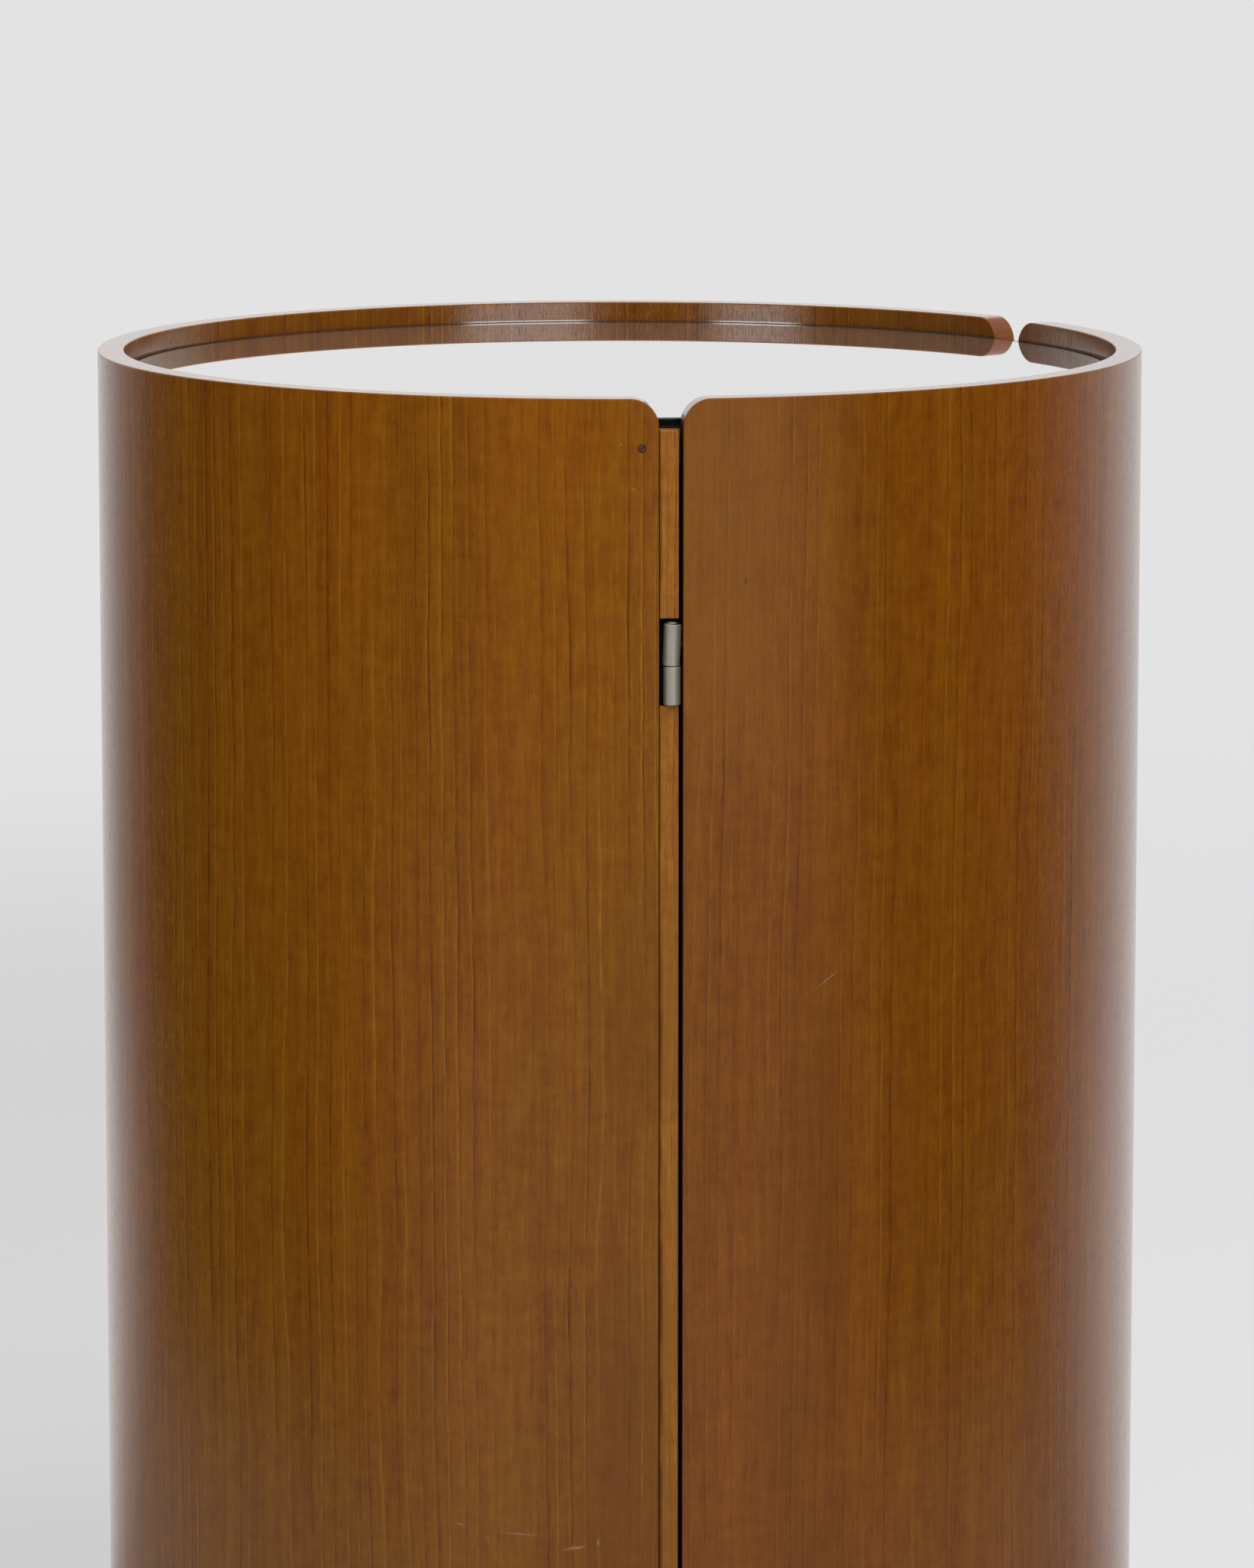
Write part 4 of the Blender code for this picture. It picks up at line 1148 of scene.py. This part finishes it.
studio = {
    "background": 0.768,        # what the camera sees of the floor and the air
    "ambient": (-0.15, 0.55, 0.12, 1.5),        # how far back, and how bright in front and behind
    # what a glossy face sees of the air: arcs from the back, heights of the air's direction, and levels
    "backArc": arc(74, 50), "backGloss": 0.78, "sideGloss": 0.02,
    "frontArc": arc(140, 152), "frontBand": ((0.23, 0.18), (0.09, 0.13)), "frontGloss": 0.15,
    "sky": (0.12, 0.24), "skyGloss": 0.6,
    # the two front windows: their edges in degrees from the front, positive to the right
    "windows": ((8.0, 37.0), (-43.0, -23.0)), "windowBlur": 2.5, "windowGloss": 4.6,
    "windowBand": ((0.135, 0.11), (0.05, 0.07)),
}
ground = {
    "size": 160.0, "tone": 0.68,
    "shadowShare": 0.34, "clear": (1.4, 4.6),       # the shadow fades out with the distance
    # a painted shadow on the floor
    "shadowPaintShare": 0.15, "shadowPaintReach": (4.2, 2.0), "shadowPaintSide": (0.1, -0.35),      # darker behind on the left
    # what a glossy face sees of the floor: distances, arcs and levels
    "backTurn": math.radians(9), "backArc": arc(76, 22), "backGloss": 0.95,
    "near": (3.4, 1.2), "nearSpread": math.radians(15),
    "pool": (1.8, 1.0), "poolGloss": 0.36, "runner": (6.5, 1.5), "runnerArc": arc(62, 28),
    "sun": (2.6, 4.6), "sunArcs": (arc(2, 12), arc(58, 34)), "sunGloss": 0.4,
}
lamps = {
    "key": {"azimuth": math.radians(40), "elevation": math.radians(52), "distance": 4.0, "size": 2.4,
            "power": 132.0},
    "fill": {"azimuth": math.radians(-14), "elevation": math.radians(38), "distance": 4.5, "size": 3.0,
             "power": 72.0},
}
lampAim = Vector((0.0, 0.0, 0.5))
eye = {"place": (0.0, -4.29, 1.2575), "pitch": math.radians(8.78), "yaw": math.radians(0.056),
       "lens": 171.6, "sensor": 36.0, "sees": 200.0}


def seenDirectly(tree, path):
    return calc(tree, "MAXIMUM", path["Is Camera Ray"], path["Is Transmission Ray"])


def azimuths(tree, axes):
    # from the back and from the front
    return (calc(tree, "ARCTAN2", axes["X"], axes["Y"]),
            calc(tree, "ARCTAN2", axes["X"], times(tree, axes["Y"], -1.0)))


def addWorld():
    world = bpy.data.worlds.new("studioAir")
    bpy.context.scene.world = world
    world.use_nodes = True
    tree = world.node_tree
    path = addNode(tree, "LightPath").outputs
    axes = axesOf(tree, addNode(tree, "TexCoord").outputs["Generated"])
    fromBack, fromFront = azimuths(tree, axes)
    fromBack = calc(tree, "ABSOLUTE", fromBack)
    back = ease(tree, fromBack, *studio["backArc"])
    gloss = calc(tree, "MULTIPLY_ADD", back, studio["backGloss"] - studio["sideGloss"], studio["sideGloss"])
    band = between(tree, axes["Z"], *studio["frontBand"])
    front = times(tree, ease(tree, fromBack, *studio["frontArc"]), band)
    gloss = calc(tree, "MULTIPLY_ADD", front, studio["frontGloss"], gloss)
    level = between(tree, axes["Z"], *studio["windowBand"])
    blur = studio["windowBlur"]
    for start, end in studio["windows"]:
        window = between(tree, fromFront, arc(start - blur, start + blur), arc(end + blur, end - blur))
        gloss = calc(tree, "MULTIPLY_ADD", times(tree, window, level), studio["windowGloss"], gloss)
    sky = times(tree, ease(tree, axes["Z"], *studio["sky"]), studio["skyGloss"])
    gloss = calc(tree, "MAXIMUM", gloss, sky)
    ambient = ease(tree, axes["Y"], *studio["ambient"])
    tone = addNode(tree, "Mix", {0: path["Is Glossy Ray"], 2: ambient, 3: gloss}).outputs[0]
    tone = addNode(tree, "Mix", {0: seenDirectly(tree, path), 2: tone, 3: studio["background"]}).outputs[0]
    background = tree.nodes["Background"]
    background.inputs["Strength"].default_value = 1.0
    feed(tree, addNode(tree, "CombineColor", {"Red": tone, "Green": tone, "Blue": tone}).outputs[0],
         background.inputs["Color"])


def addFloor():
    bpy.ops.object.select_all(action="DESELECT")
    bpy.ops.mesh.primitive_plane_add(size=ground["size"])
    floor = newlyAdded("floor")
    material = bpy.data.materials.new("floorPaper")
    material.use_nodes = True
    tree = material.node_tree
    tree.nodes.remove(tree.nodes["Principled BSDF"])
    path = addNode(tree, "LightPath").outputs
    place = addNode(tree, "TexCoord").outputs["Object"]
    reach = lengthOf(tree, place)
    axes = axesOf(tree, place)
    fromBack, fromFront = azimuths(tree, axes)
    fromBack = calc(tree, "ABSOLUTE", calc(tree, "SUBTRACT", fromBack, ground["backTurn"]))
    near = times(tree, ease(tree, reach, *ground["near"]), ground["nearSpread"])
    fromBack = calc(tree, "SUBTRACT", fromBack, near)
    back = times(tree, ease(tree, fromBack, *ground["backArc"]), ground["backGloss"])
    pool = times(tree, ease(tree, reach, *ground["pool"]), ground["poolGloss"])
    ahead = ease(tree, calc(tree, "ABSOLUTE", fromFront), *ground["runnerArc"], 0.0, ground["poolGloss"])
    runner = times(tree, ease(tree, reach, *ground["runner"]), ahead)
    sunny = times(tree, between(tree, fromFront, *ground["sunArcs"]), ease(tree, reach, *ground["sun"]))
    runner = calc(tree, "MAXIMUM", runner, times(tree, sunny, ground["sunGloss"]))
    gloss = calc(tree, "MAXIMUM", calc(tree, "MAXIMUM", back, pool), runner)
    # painted shadow: the floor's emission is darker behind on the left
    paintedShadow = times(tree, ease(tree, reach, *ground["shadowPaintReach"]), ease(tree, axes["X"], *ground["shadowPaintSide"]))
    paintedShadow = calc(tree, "MULTIPLY_ADD", paintedShadow, -ground["shadowPaintShare"], 1.0)
    paper = addNode(tree, "BsdfDiffuse", {"Color": [ground["tone"]] * 3}).outputs[0]
    air = addNode(tree, "Emission", {"Color": [studio["background"]] * 3, "Strength": paintedShadow}).outputs[0]
    shine = addNode(tree, "Emission", {"Strength": gloss}).outputs[0]
    far = ease(tree, reach, *ground["clear"], 1.0 - ground["shadowShare"], 1.0)
    away = times(tree, seenDirectly(tree, path), far)
    surface = addNode(tree, "MixShader", {0: away, 1: paper, 2: air}).outputs[0]
    surface = addNode(tree, "MixShader", {0: path["Is Glossy Ray"], 1: surface, 2: shine}).outputs[0]
    feed(tree, surface, tree.nodes["Material Output"].inputs["Surface"])
    floor.data.materials.append(material)


def addLamps():
    for name, values in lamps.items():
        reach = math.cos(values["elevation"]) * values["distance"]
        rise = math.sin(values["elevation"]) * values["distance"]
        place = lampAim + polar(reach, values["azimuth"], rise)
        bpy.ops.object.light_add(type="AREA", location=place)
        lamp = bpy.context.object
        lamp.name = name
        lamp.rotation_euler = (place - lampAim).to_track_quat("Z", "Y").to_euler()
        lamp.data.energy = values["power"]
        lamp.data.size = values["size"]
        lamp.visible_glossy = False


def addCamera():
    bpy.ops.object.camera_add(location=eye["place"])
    camera = bpy.context.object
    camera.rotation_euler = (math.pi / 2 - eye["pitch"], 0.0, -eye["yaw"])
    camera.data.lens = eye["lens"]
    camera.data.sensor_width = eye["sensor"]
    camera.data.clip_end = eye["sees"]
    bpy.context.scene.camera = camera


print("setting up the studio")
addWorld()
addFloor()
addLamps()
addCamera()
bpy.context.scene.view_settings.view_transform = "Standard"
